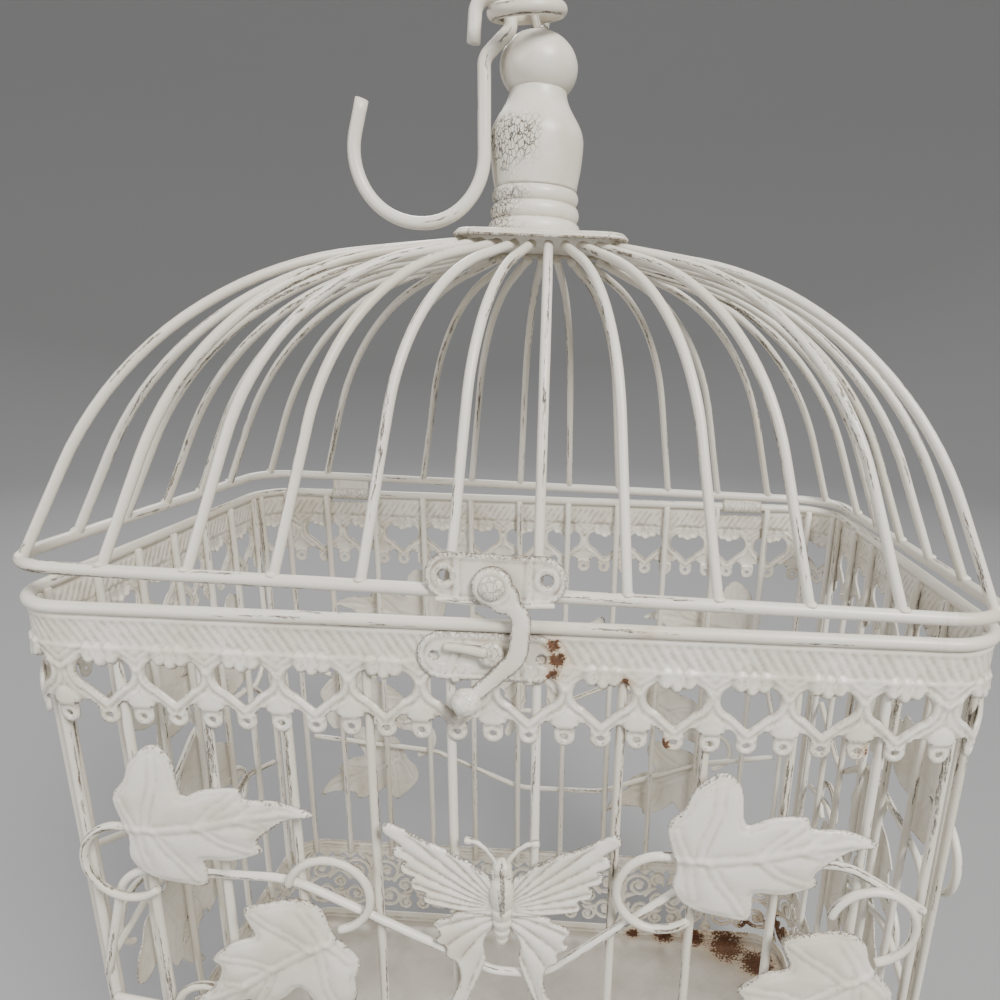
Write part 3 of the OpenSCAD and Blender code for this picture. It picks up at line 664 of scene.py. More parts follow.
def ring_path(w, d, r, z, spacing=4.0):
    """Closed rounded frame as points."""
    path = []
    for sx, sy, start in ((1, -1, -90), (1, 1, 0), (-1, 1, 90), (-1, -1, 180)):
        for k in range(13):
            a = math.radians(start + 90*k/12)
            path.append((sx*(w/2 - r) + r*math.cos(a), sy*(d/2 - r) + r*math.sin(a), z))
    return resample(path, spacing, closed=True)


def make_rims():
    for name, z, wire in (("rim_wire_frame", RIM_Z, RIM_WIRE), ("base_wire_frame", BASE_Z, RIM_WIRE)):
        shape = Shape()
        tube(shape, ring_path(CAGE_W, CAGE_D, CORNER_R, z), wire/2, 18, True, 0.5, 0.03)
        node = "rim_frame" if z == RIM_Z else "base_frame"
        shape.make(name, "cage", WIRE, [node])
    shape = Shape()
    path = lid_seat(ring_path(CAGE_W, CAGE_D, CORNER_R, LID_GAP))
    tube(shape, path, RIM_WIRE/2, 18, True, 0.5, 0.03)
    shape.make("lid_wire_frame", "lid", WIRE, ["lid_frame"])


def bar(shape, x, y, outward):
    """One upright bar with its welds, slightly bowed."""
    low, high = SCROLL_TOP - 6, RIM_Z - 1
    z = grid(low, high, 6)
    bow = 0.12*np.sin((z - low)/(high - low)*math.pi*rng.uniform(1, 2) + rng.uniform(0, 3))
    path = np.stack([x + bow*outward[1], y + bow*outward[0], z], 1)
    tube(shape, path, BAR_WIRE/2, 12, wear=0.6)
    out = np.array([*outward, 0])
    for height in (SCROLL_TOP - 2.5, RIM_Z - 3.0):
        blob(shape, np.array([x, y, height]) + out*0.7, (1.25, 1.25, 1.9), wear=0.35)


def make_bars():
    across = (np.arange(FRONT_BARS) - (FRONT_BARS - 1)/2)*FRONT_PITCH
    along = (np.arange(SIDE_BARS) - (SIDE_BARS - 1)/2)*SIDE_PITCH
    for wall, places in (("front", across), ("back", across), ("left", along), ("right", along)):
        shape = Shape()
        for x in places:
            p = on_wall(wall, x, 0, -BAR_IN)
            outward = on_wall(wall, 0, 0, 1)[:2] - on_wall(wall, 0, 0, 0)[:2]
            bar(shape, p[0], p[1], outward)
        shape.make(f"bars_{wall}_wires", "cage", WIRE, [f"bars_{wall}"])
    shape = Shape()
    for sx, sy, start in ((1, 1, 0), (-1, 1, 90), (-1, -1, 180), (1, -1, 270)):
        for angle in (22, 68):
            a = math.radians(start + angle)
            reach = CORNER_R - BAR_IN
            bar(shape, sx*FRONT_RUN/2 + reach*math.cos(a), sy*SIDE_RUN/2 + reach*math.sin(a),
                (math.cos(a), math.sin(a)))
    shape.make("bars_corner_wires", "cage", WIRE, ["bars_corner"])


# ---------- heart band ----------

def band_centres(front_count, side_count):
    """Distances round the cage of the middles of the repeats of a band, corners included."""
    centres, start = [], -FRONT_RUN/2
    for run, count in ((FRONT_RUN, front_count), (SIDE_RUN, side_count))*2:
        centres += [start + run*(k + 0.5)/count for k in range(count)]
        centres.append(start + run + ARC/2)
        start += run + ARC
    centres = np.array(centres)
    centres = np.where(centres > PERIMETER/2, centres - PERIMETER, centres)
    return np.sort(centres)


def nearest(s, centres):
    """Signed distance from each s to the closest centre round the cage."""
    loop = np.concatenate([centres[-1:] - PERIMETER, centres, centres[:1] + PERIMETER])
    k = np.clip(np.searchsorted(loop, s), 1, len(loop) - 1)
    left, right = s - loop[k-1], s - loop[k]
    return np.where(np.abs(left) < np.abs(right), left, right)


hearts = band_centres(FRONT_HEARTS, SIDE_HEARTS)
links = (hearts + np.roll(hearts, -1))/2
links[-1] = (hearts[-1] + hearts[0] + PERIMETER)/2
links = np.sort((links + PERIMETER/2) % PERIMETER - PERIMETER/2)
HEART_DROP = 26.2
TAB_Z = -HEART_DROP - 3
TAB_R = 2.6


def heart_field(x, z):
    """Signed distance to one heart opening, with a three-lobed drip cut from its top."""
    x = np.abs(x)
    lobe = np.hypot(x - 3.3, z + 17.0) - 4.0
    point = np.maximum(0.678*(x - 6.9) - 0.735*(z + 18.6), z + 15.5)
    hole = np.minimum(lobe, np.maximum(point, x - 6.6))
    drip = np.minimum(np.hypot(x - 2.7, z + 12.9) - 1.85, np.hypot(x, z + 13.7) - 1.9)
    return np.maximum(hole, -drip)


def heart_band_field(s, z):
    x, m = nearest(s, hearts), nearest(s, links)
    z = z - RIM_Z
    lower = np.maximum(-HEART_DROP - z, z + 1.3)
    x_gap, m_gap = np.abs(np.abs(x) - 4.6), np.abs(np.abs(m) - 4.6)
    sheet = np.maximum(lower, 1.35 - np.hypot(np.minimum(x_gap, m_gap), z + 26.5))
    t = np.minimum(np.abs(x), np.abs(m))
    neck = np.maximum(t - TAB_R, np.maximum(TAB_Z - z, z + 25))
    tab = np.minimum(neck, np.hypot(t, z - TAB_Z) - TAB_R)
    sheet = np.minimum(sheet, tab)
    holes = np.minimum(heart_field(x, z), np.hypot(t, z - TAB_Z) - 0.8)
    return np.maximum(sheet, -holes)


def heart_relief(s, z):
    x, m = nearest(s, hearts), nearest(s, links)
    z = z - RIM_Z
    hatch_zone = 1/(1 + np.exp(-(z + 9.2)*3))*1/(1 + np.exp((z + 3.2)*3))
    hatch = 0.15*np.cos(FULL_TURN*(s + 0.62*z)/2.6)*hatch_zone
    hem = 0.35*bump(z + 10.1, 0.55) + 0.25*bump(z + 2.6, 0.6)
    chevron = np.zeros_like(z)
    for apex, tall in ((-16.2, 0.55), (-13.6, 0.45)):
        reach = np.abs(m)*0.72 + apex - z
        chevron += tall*bump(reach*0.81, 0.62)*(np.abs(m) < 6.4)*(z < -10.2)
    chevron += 0.4*bump(np.hypot(m/2.4, (z + 11.4)/0.9), 0.9)
    field = heart_field(x, z)
    below = 1/(1 + np.exp((z + 13.2)*2.5))
    lip = (0.62*bump(field - 1.15, 0.6) + 0.28*bump(field - 2.9, 0.5))*below
    drops = [np.hypot((np.abs(x) - 2.9)/1.9, (z + 11.9)/3.0), np.hypot(x/1.7, (z + 12.3)/3.4)]
    drip = 0.95*np.clip(1 - drops[0]**2, 0, 1)**0.6 + 0.95*np.clip(1 - drops[1]**2, 0, 1)**0.6
    dome = 0.85*np.clip(1 - np.hypot(m/3.5, (z + 25.6)/4.0)**2, 0, 1)**0.55/(1 + np.exp((-26.7 - z)*5))
    t = np.minimum(np.abs(x), np.abs(m))
    tabs = 0.28*bump(np.hypot(t, z - TAB_Z) - 1.5, 0.5)*(z < -25.8)
    chevron = np.minimum(chevron, 0.6)*(field > 1.2)
    return hatch + hem + chevron + lip + np.minimum(drip, 1.0) + dome + tabs


def hinge_cut(s, z):
    """The notches in the middle of the back that the two hinge sleeves turn in."""
    from_back = np.abs(PERIMETER/2 - np.abs(s))
    middle = box_mm("hinge_sleeves")[1][0] - SLEEVE_LENGTH/2
    return box_field(from_back, z - RIM_Z, middle, 0, SLEEVE_LENGTH + 2, 7.4)


def make_heart_band():
    shape = Shape()
    us = grid(-PERIMETER/2, PERIMETER/2, 0.5)
    vs = grid(RIM_Z - 32.4, RIM_Z - 0.8, 0.5)

    def field(s, z):
        return np.maximum(heart_band_field(s, z), -hinge_cut(s, z))

    stamped(shape, us, vs, field, heart_relief, 0.7, perimeter_point, 0.62, 0.5, -0.35,
            grime_and_shade_amount=0.6)
    nodes = [f"heart_band_{w}" for w in ("front", "back", "left", "right", "corners")]
    shape.make("heart_band_stamping", "cage", SHEET, nodes)


# ---------- scroll band ----------

SCROLL_H = SCROLL_TOP - SCROLL_LOW
scroll_centres = band_centres(5, 3)


def spiral(cx, cy, r0, r1, start, sweep, w0, w1, steps=26):
    """A curl whose radius and stroke width change from end to end: rows of x, y, half-width."""
    t = np.arange(steps + 1)/steps
    a = np.radians(start + sweep*t)
    r = r0 + (r1 - r0)*t
    return np.stack([cx + r*np.cos(a), cy + r*np.sin(a), w0 + (w1 - w0)*t], 1)


def leaf_stroke(x0, y0, x1, y1, fat, bend=0.0, steps=14):
    """A pointed leaf from one point to another."""
    t = np.arange(steps + 1)/steps
    nx, ny = -(y1 - y0), x1 - x0
    s = bend*np.sin(math.pi*t)
    half = 0.35 + fat*np.sin(math.pi*t**0.8)
    return np.stack([x0 + (x1 - x0)*t + nx*s, y0 + (y1 - y0)*t + ny*s, half], 1)


def scroll_strokes():
    """Half of one repeat of the pierced scrollwork; the other half is its mirror image."""
    mid = SCROLL_H/2
    strokes = [
        spiral(8.2, mid + 6.6, 7.4, 2.3, 200, -520, 1.15, 0.9, 46),
        spiral(9.0, mid - 8.2, 6.6, 2.1, 150, 500, 1.1, 0.9, 44),
        spiral(17.4, mid - 1.5, 4.6, 1.6, -100, 430, 1.0, 0.8, 36),
        spiral(17.8, mid + 11.2, 3.6, 1.4, 250, -400, 0.95, 0.8, 30),
        spiral(17.6, mid - 12.2, 3.7, 1.4, 100, 390, 0.95, 0.8, 30),
        leaf_stroke(0, mid - 5, 0, mid + 8, 1.7),
        leaf_stroke(0.6, mid - 1, 6.6, mid + 1.2, 1.2, 0.12),
        leaf_stroke(0.8, mid - 4, 5.2, mid - 9.5, 1.1, -0.15),
        leaf_stroke(11.5, mid + 0.4, 17, mid + 5.4, 1.3, 0.2),
        leaf_stroke(13.2, mid - 6.6, 20.5, mid - 7.4, 1.2, -0.18),
        leaf_stroke(0, mid + 8, 3.4, mid + 17, 1.1, 0.15),
        leaf_stroke(0, mid - 6, 3.0, mid - 17, 1.1, -0.15),
        leaf_stroke(13.5, mid + 14, 20.8, mid + 6.6, 1.1, 0.2),
    ]
    balls = [(8.2, mid + 6.6, 2.1), (9.0, mid - 8.2, 2.0), (17.4, mid - 1.5, 1.7),
             (17.8, mid + 11.2, 1.5), (17.6, mid - 12.2, 1.5), (0, mid - 17, 1.7)]
    return np.concatenate([*strokes, np.array(balls)])


stroke_points = scroll_strokes()


def stroke_field(x, y):
    """Signed distance to the scrollwork's strokes and their mirror images."""
    x = np.abs(x)
    best = np.full(x.shape, 1e9)
    for px, py, half in stroke_points:
        np.minimum(best, np.hypot(x - px, y - py) - half, out=best)
    return best


def scroll_field(s, z):
    x = nearest(s, scroll_centres)
    y = z - SCROLL_LOW
    plate = np.maximum(-y, y - SCROLL_H)
    rails = np.minimum(np.abs(y - 3.0) - 3.0, np.abs(y - SCROLL_H + 3.6) - 3.6)
    teeth = np.abs((x % 7.27) - 3.63)*1.1 + (SCROLL_H - 9.6 - y)
    teeth = np.maximum(teeth - 1.6, SCROLL_H - 12 - y)
    return np.maximum(plate, np.minimum(rails, np.minimum(stroke_table(x, y), teeth)))


table_x, table_y = grid(-0.5, 26.5, 0.3), grid(-1, SCROLL_H + 1, 0.3)
table = stroke_field(*np.meshgrid(table_x, table_y, indexing="ij"))


def stroke_table(x, y):
    """The strokes' distance, looked up on a fine grid that is filled once."""
    fx = np.clip((np.abs(x) - table_x[0])/(table_x[1] - table_x[0]), 0, len(table_x) - 1.001)
    fy = np.clip((y - table_y[0])/(table_y[1] - table_y[0]), 0, len(table_y) - 1.001)
    i, j = fx.astype(int), fy.astype(int)
    tx, ty = fx - i, fy - j
    return (table[i, j]*(1 - tx)*(1 - ty) + table[i+1, j]*tx*(1 - ty)
            + table[i, j+1]*(1 - tx)*ty + table[i+1, j+1]*tx*ty)


def scroll_relief(s, z):
    x = nearest(s, scroll_centres)
    y = z - SCROLL_LOW
    inner = np.clip(-stroke_table(x, y), 0, 1.2)
    top = SCROLL_H - y
    hems = 0.45*bump(y - 1.2, 0.6) + 0.45*bump(top - 1.4, 0.6) + 0.2*bump(top - 5.8, 0.6)
    return 0.5*np.sqrt(inner)*(y > 5)*(y < SCROLL_H - 6) + hems


def make_scroll_band():
    shape = Shape()
    us = grid(-PERIMETER/2, PERIMETER/2, 0.6)
    vs = grid(SCROLL_LOW - 0.3, SCROLL_TOP + 0.3, 0.6)
    stamped(shape, us, vs, scroll_field, scroll_relief, 0.7, perimeter_point, 0.5, 0.3, -0.35)
    nodes = [f"scroll_band_{w}" for w in ("front", "back", "left", "right", "corners")]
    shape.make("scroll_band_stamping", "cage", SHEET, nodes)


# ---------- vines, stems and leaves ----------

# Vines: corners as x and z below the rim, then bend radii. Leaves: x, drop, angle.
# Loops: x, drop, radius, start and sweep. Stubs: x, drop, length.
FRONT_VINES = [
    ([(-113, -113), (-103, -76.4), (-56, -76.4), (0, -103.6), (14, -103.6), (62, -62.4), (93, -62.4),
      (114, -75)], [0, 11, 30, 12, 14, 22, 18, 0]),
    ([(-112, -122), (-76, -128), (-30, -146), (10, -146), (52, -128), (112, -123)], [0, 20, 26, 26, 20, 0]),
]
SIDE_VINES = [
    ([(-59, -94), (-46, -82), (-2, -77), (26, -98), (59, -84)], [0, 14, 16, 14, 0]),
    ([(-59, -128), (-34, -119), (8, -131), (34, -119), (59, -126)], [0, 16, 18, 14, 0]),
]
SPRAY_X = (-97, 48)
FRONT_LEAVES = [leaf for x in SPRAY_X for leaf in ((x, 60, 0), (x + 54, 92, 203), (x + 20, 132, -38))]
FRONT_LOOPS = [loop for x in SPRAY_X for loop in (
    (x - 3.3, 72.3, 11.5, 90, 222), (x + 52.5, 79.4, 11.3, -78, 243), (x + 14.6, 122.6, 9.5, 60, 200))]
FRONT_STUBS = [(x - 3.3, 60.8, 9) for x in SPRAY_X]
SIDE_LEAVES = [(-50, 62, 0), (-4, 60, 10), (8, 92, 203), (-22, 132, -38), (30, 128, -120)]
SIDE_LOOPS = [(-51.3, 74.3, 11.5, 90, 222), (6.5, 79.4, 11.3, -78, 243), (-27.4, 122.6, 9.5, 60, 200),
              (40, 124, 10, -60, 240)]
SIDE_STUBS = [(-51.3, 62.8, 9)]
WALLS = {"front": (FRONT_VINES, FRONT_LEAVES, FRONT_LOOPS, FRONT_STUBS, 4.6),
         "back": (FRONT_VINES, FRONT_LEAVES, FRONT_LOOPS, FRONT_STUBS, 1.6),
         "left": (SIDE_VINES, SIDE_LEAVES, SIDE_LOOPS, SIDE_STUBS, 0.85),
         "right": (SIDE_VINES, SIDE_LEAVES, SIDE_LOOPS, SIDE_STUBS, 0.85)}

LEAF = smooth_outline([
    (0, -2), (-2.6, 8), (1, 13.4), (3.2, 18.6), (9, 23), (13.5, 19.4), (15, 10.6), (21, 12.4), (28.6, 12.8),
    (30.2, 10), (38, 9.6), (46, 6), (39, 4.3), (32, -1.6), (32.6, -5), (25, -7.8), (18.6, -7.8), (18.4, -12),
    (17.6, -15.8), (12, -15.4), (3.7, -13.5), (-0.4, -8.6)])
MAIN_VEIN = [(-1, 0), (8, 0.6), (18, 2.2), (30, 5.4), (39, 6.6), (44, 6.1)]
SIDE_VEINS = [
    [(5, 0.6), (6.2, 6), (8.6, 13), (8.8, 20)], [(7, 0.4), (10, -5), (13.6, -9.6), (16, -13.6)],
    [(18, 2.2), (22, 6.6), (27.6, 11)], [(18.5, 2.2), (23, -1.6), (30, -4.6)],
    [(2.6, 0.3), (0.6, 4), (-0.6, 7.6)], [(3, 0.2), (3.2, -5), (4.4, -10.6)],
    [(28, 4.8), (32, 8), (36, 8.9)], [(28, 4.6), (32.6, 3.2)],
]


def leaf_relief(swell, twist):
    """How far a leaf is pressed out at (a, b) of its own drawing."""
    def relief(a, b):
        depth = np.clip(-polygon_field(a, b, LEAF), 0, None)
        main, _ = line_field(a, b, MAIN_VEIN)
        side = np.min([line_field(a, b, vein)[0] for vein in SIDE_VEINS], axis=0)
        vein = np.minimum(main, side + 0.25)
        puffed = 1.0*(1 - np.exp(-vein/3.2)) - 0.12*bump(vein - 1.3, 0.7)
        ridge = 0.62*bump(main, 0.95) + 0.42*bump(side, 0.8)
        cup = 0.9*(1 - np.exp(-depth/3.2))
        hem = 0.28*bump(depth - 0.5, 0.45)
        bend = -1.1*((a - 19)/25)**2 + twist*(b - 2)*a/700 - 0.7*((b - 3)/19)**2
        return swell*(puffed*np.clip(depth/2, 0.25, 1) + ridge + cup + hem + bend)
    return relief


def make_wall_trim(wall, vines, leaves, loops, stubs, room):
    """The vine wires, leaf stems and leaves of one wall; room is how far its leaves swell."""
    across = np.array(on_wall(wall, 1, 0, 0) - on_wall(wall, 0, 0, 0), float)
    up = np.array([0, 0, 1.0])
    shape = Shape()
    for corners, radii in vines:
        flat = resample(bent_path(corners, radii), 4)
        path = on_wall(wall, flat[:, 0], RIM_Z + flat[:, 1], VINE_N)
        tube(shape, path, VINE_WIRE/2, 14, wear=0.75)
    shape.make(f"vine_{wall}_wires", "cage", WIRE, [f"vine_{wall}"])
    shape = Shape()
    stem_n = LEAF_N + 0.45
    for x, drop, r, start, sweep in loops:
        centre = on_wall(wall, x, RIM_Z - drop, stem_n)
        tube(shape, arc_path(centre, r, start, sweep, across, up, 40), VINE_WIRE/2, 14, wear=0.7)
    for x, drop, run in stubs:
        path = on_wall(wall, grid(x, x + run, 2), RIM_Z - drop, stem_n)
        tube(shape, path, VINE_WIRE/2, 14, wear=0.7)
    shape.make(f"stems_{wall}_wires", "cage", WIRE, [f"tendrils_{wall}"])
    shape = Shape()
    us, vs = grid(-4.2, 47.4, 0.45), grid(-17.4, 24.6, 0.45)
    for k, (x, drop, angle) in enumerate(leaves):
        c, s = LEAF_SIZE*math.cos(math.radians(angle)), LEAF_SIZE*math.sin(math.radians(angle))
        relief = leaf_relief(min(1.0, room/2.6), (-1)**k*1.0)
        gu, gv = np.meshgrid(us, vs, indexing="ij")
        tallest = relief(gu, gv)[polygon_field(gu, gv, LEAF) < 0].max()
        lift = LEAF_N + 0.9 + room - 0.85 - LEAF_T - tallest

        def place(a, b, n, x=x, drop=drop, c=c, s=s):
            return on_wall(wall, x + c*a - s*b, RIM_Z - drop + s*a + c*b, np.maximum(n, 0.4))

        stamped(shape, us, vs, lambda a, b: polygon_field(a, b, LEAF), relief, LEAF_T, place,
                0.75, 0.5, lift, grime_and_shade_amount=0.4)
    shape.make(f"leaves_{wall}_stamped", "cage", TRIM, [f"leaves_{wall}"])


# ---------- butterfly ----------

UPPER_WING = smooth_outline([
    (0, -2), (1, 6), (9, 14), (20, 20), (29, 24.8), (31, 24.4), (31, 22), (26.6, 18.4), (28.6, 17.6),
    (28.4, 15), (25.4, 13.4), (27, 12.6), (26.4, 9.8), (23.4, 8.6), (24.6, 7.4), (23.8, 4.8),
    (20.6, 3.8), (21.2, 2.4), (20.4, 0.4), (14, -1.2), (6, -2.6)], 5)
LOWER_WING = smooth_outline([
    (0, -3), (7, -2.2), (12.6, -2.8), (14, -4.4), (17.4, -5.4), (18.6, -7.4), (17, -10), (18.2, -12.4),
    (15.4, -14.6), (15.4, -17.4), (12.6, -19.6), (11.6, -24), (12.4, -28), (15.4, -36), (13, -38.6), (9, -31),
    (6, -23), (4.6, -18), (5, -12), (3, -8)], 5)


def wing_field(x, y):
    x = np.abs(x)
    return np.minimum(polygon_field(x, y, UPPER_WING), polygon_field(x, y, LOWER_WING))


def wing_relief(x, y):
    """Fan ridges from the body to the scalloped edge, deeper towards the tips."""
    x = np.abs(x)
    reach = np.hypot(x, y)
    high = np.degrees(np.arctan2(y + 1.0 - 0.004*x*x, x + 1.0))
    fan = np.abs(np.sin(math.pi*6*(high + 5)/52))**0.7
    low = np.degrees(np.arctan2(-(y + 2.4) - 0.01*reach**2, x + 2.0))
    tail = np.abs(np.sin(math.pi*5*(low - 6)/84))**0.7
    upper = polygon_field(x, y, UPPER_WING) < 0.05
    ridges = np.where(upper, 0.85*fan, 0.8*tail)*np.clip(reach/9, 0.1, 1)
    depth = np.clip(-wing_field(x, y), 0, None)
    step = 0.35*upper
    return ridges*np.clip(depth/1.2, 0.35, 1) + 0.035*x + step + 0.3*bump(depth - 0.6, 0.5)


def make_butterfly(wall):
    shape = Shape()
    cx, cz = 2.6, RIM_Z - 80

    def place(x, y, n):
        return on_wall(wall, cx + x, cz + y, n)

    us, vs = grid(-32.4, 32.4, 0.36), grid(-39.6, 26.4, 0.36)
    stamped(shape, us, vs, wing_field, wing_relief, 0.6, place, 0.8, 0.45, 1.7, grime_and_shade_amount=0.8)
    stations = np.array([       # height on the body, and its radius there before thinning
        (-13.4, 0.3), (-12.6, 1.2), (-11.2, 1.75), (-10.4, 1.5), (-9.7, 1.9), (-8.2, 2.4),
        (-7.3, 2.05), (-6.6, 2.45), (-5.0, 2.85), (-4.0, 2.4), (-3.2, 2.8), (-1.4, 3.1), (-0.4, 2.6),
        (0.6, 3.0), (3, 3.5), (5.4, 3.6), (7.6, 3.2), (9.2, 2.3), (10.2, 2.2), (11.4, 2.7),
        (12.8, 2.6), (14.0, 1.7), (14.6, 0.4)])
    y = grid(stations[0, 0], stations[-1, 0], 0.35)
    radius = np.interp(y, stations[:, 0], stations[:, 1])*0.98
    tube(shape, place(0*y, y, 1.95), radius, 20, wear=0.7, ends="flat")
    for side in (-1, 1):
        feeler = np.array([(1.0, 12.6), (2.2, 15.2), (4.2, 18), (6.6, 19.8), (9.6, 20.4)])
        t = np.linspace(0, 4, 22)
        fx, fy = (np.interp(t, range(5), feeler[:, k]) for k in (0, 1))
        thick = np.where(t > 3.5, 1.15 - 1.4*(t - 3.75)**2, 0.68)
        tube(shape, place(side*fx, fy, 2.4), thick, 12, wear=0.8)
        blob(shape, place(side*1.7, 10.4, 2.6), (1.3, 1.0, 1.9), wear=0.8)
    shape.make(f"butterfly_{wall}_stamped", "cage", TRIM, [f"butterfly_{wall}"])


# ---------- lid ----------

def rib_path(foot, top):
    """Upright leg, one bend and a sloping leg, from the lid rim to the crown."""
    foot, top = np.asarray(foot, float), np.asarray(top, float)
    reach = np.linalg.norm(top - foot)
    rise = CROWN_Z - RIB_WIRE/2 + 0.1 - LID_GAP
    corners = np.array([[0, 0], [0.3*reach, 0.83*rise], [reach, rise]])
    u, w = unit(corners[1]), unit(corners[2] - corners[1])
    leg = 0.67*min(np.linalg.norm(corners[1]), np.linalg.norm(corners[2] - corners[1]))
    radius = leg/math.tan(math.acos(float(u @ w))/2)
    flat = resample(bent_path(corners, [0, radius, 0], 3), 5)
    heading = unit(top - foot)
    return np.stack([foot[0] + heading[0]*flat[:, 0], foot[1] + heading[1]*flat[:, 0],
                     LID_GAP + flat[:, 1]], 1)


def add_rib(shape, foot, top):
    path = rib_path(foot, top)
    tube(shape, lid_seat(path), RIB_WIRE/2, 14, wear=0.66)
    blob(shape, lid_seat([path[0] + [0, 0, 1.5]])[0], (1.55, 1.55, 0.9), wear=0.4)
    blob(shape, lid_seat([path[-1] + [0, 0, -0.2]])[0], (1.55, 1.55, 1.4), wear=0.4)


def make_ribs():
    for name, side in (("front", -1), ("back", 1)):
        shape = Shape()
        for i in range(FRONT_BARS):
            k = i - (FRONT_BARS - 1)/2
            add_rib(shape, (k*FRONT_PITCH, side*CAGE_D/2), (CROWN_X + k*4.8, side*(CROWN_D/2 - 5)))
        shape.make(f"ribs_{name}_wires", "lid", WIRE, [f"ribs_{name}"])
    for name, side in (("left", -1), ("right", 1)):
        shape = Shape()
        for i in range(SIDE_RIBS):
            k = i - (SIDE_RIBS - 1)/2
            add_rib(shape, (side*CAGE_W/2, k*22), (CROWN_X + side*(CROWN_W/2 - 4), k*6.6))
        shape.make(f"ribs_{name}_wires", "lid", WIRE, [f"ribs_{name}"])
    shape = Shape()
    inset = CORNER_R*(1 - math.cos(math.radians(45)))
    for x in (-1, 1):
        for y in (-1, 1):
            add_rib(shape, (x*(CAGE_W/2 - inset), y*(CAGE_D/2 - inset)),
                    (CROWN_X + x*(CROWN_W/2 - 2.5), y*(CROWN_D/2 - 6)))
    shape.make("ribs_corner_wires", "lid", WIRE, ["ribs_corner"])


def make_crown():
    """A pressed plate with a rolled edge and a shallow step under the finial."""
    shape = Shape()

    def field(x, y):
        return box_field(x, y, CROWN_X, 0, CROWN_W, CROWN_D, 7)

    def relief(x, y):
        depth = -field(x, y)
        step = 1/(1 + np.exp((np.hypot(x, y) - 17)*1.8))
        return -1.05 + 0.55*step + 0.35*bump(depth - 1.4, 0.8) - 0.9*bump(depth, 0.9)

    def place(x, y, n):
        return lid_seat(np.stack([x, y, n], -1))

    stamped(shape, grid(CROWN_X - 28, CROWN_X + 28, 0.6), grid(-24, 24, 0.6), field, relief, 1.1,
            place, 0.8, 0.3, CROWN_Z + CROWN_T - 0.1)
    lip = ring_path(CROWN_W - 1.4, CROWN_D - 1.4, 6.3, 0, 2)
    tube(shape, lid_seat(lip + [CROWN_X, 0, CROWN_Z + 0.75]), 0.7, 10, True, 0.8)
    shape.make("crown_pressing", "lid", SHEET, ["crown_plate"])


def finial_profile():
    """Stacked rings, a swelling bulb, a waist and a slightly flat ball: radius and height."""
    base = CROWN_Z + CROWN_T
    profile = [(0, base), (13.1, base), (13.7, base + 0.5)]
    for start, tall, r in ((0.0, 5.1, 13.95), (5.1, 4.5, 13.4), (9.7, 4.2, 13.0)):
        for a in np.radians(np.linspace(-72, 72, 11)):
            rise = math.sin(a)/math.sin(1.2566)
            profile.append((r - tall/2*0.8*(1 - math.cos(a)), base + start + tall/2 + tall/2*rise))
        profile.append((r - tall/2*0.62, base + start + tall + 0.02))
    foot, neck = base + 13.9, BALL_Z - 0.65*BALL_H
    for k in range(41):
        t = k/40
        r = 12.3 + 1.5*math.sin(math.pi*t) if t < 0.5 else 11.1 + 2.7*math.cos(FULL_TURN*(t - 0.5))
        profile.append((r, foot + (neck - foot)*t))
    for a in np.radians(np.linspace(-44, 88, 34)):
        profile.append((BALL_R*math.cos(a), BALL_Z + BALL_H*math.sin(a)))
    profile.append((0, BALL_Z + BALL_H))
    return profile


def make_finial():
    shape = Shape()

    def ripple(a, z):
        return 1 - 0.006*(0.5 + 0.5*np.sin(3*a + 0.2*z)) - 0.003*(0.5 + 0.5*np.sin(11*a - 0.9*z))

    profile = np.array(finial_profile())
    lathe(shape, profile, lid_seat, 96, 0.0, ripple)
    points = shape.points[0]
    x, y, z = points[:, 0], points[:, 1], points[:, 2] - RIM_Z
    facing = np.clip((-0.55*x - 0.84*y)/13, 0, 1)**2
    bulb = facing*bump(z - 121, 13)
    rings = np.clip(0.5 - x/24, 0, 1)*np.clip((111 - z)/4, 0, 1)
    shape.wear[0] = np.clip(0.1 + 0.85*bulb + 0.5*rings, 0, 1)
    shape.make("finial_turned", "lid", WOOD, ["finial"])


def ring_frame(points):
    """From the hanging ring's own frame to the seated lid."""
    turn = rot_z(-RING_TURN) @ rot_x(RING_TILT)
    return lid_seat(np.asarray(points, float) @ turn.T + [0, 0, EYE_Z])


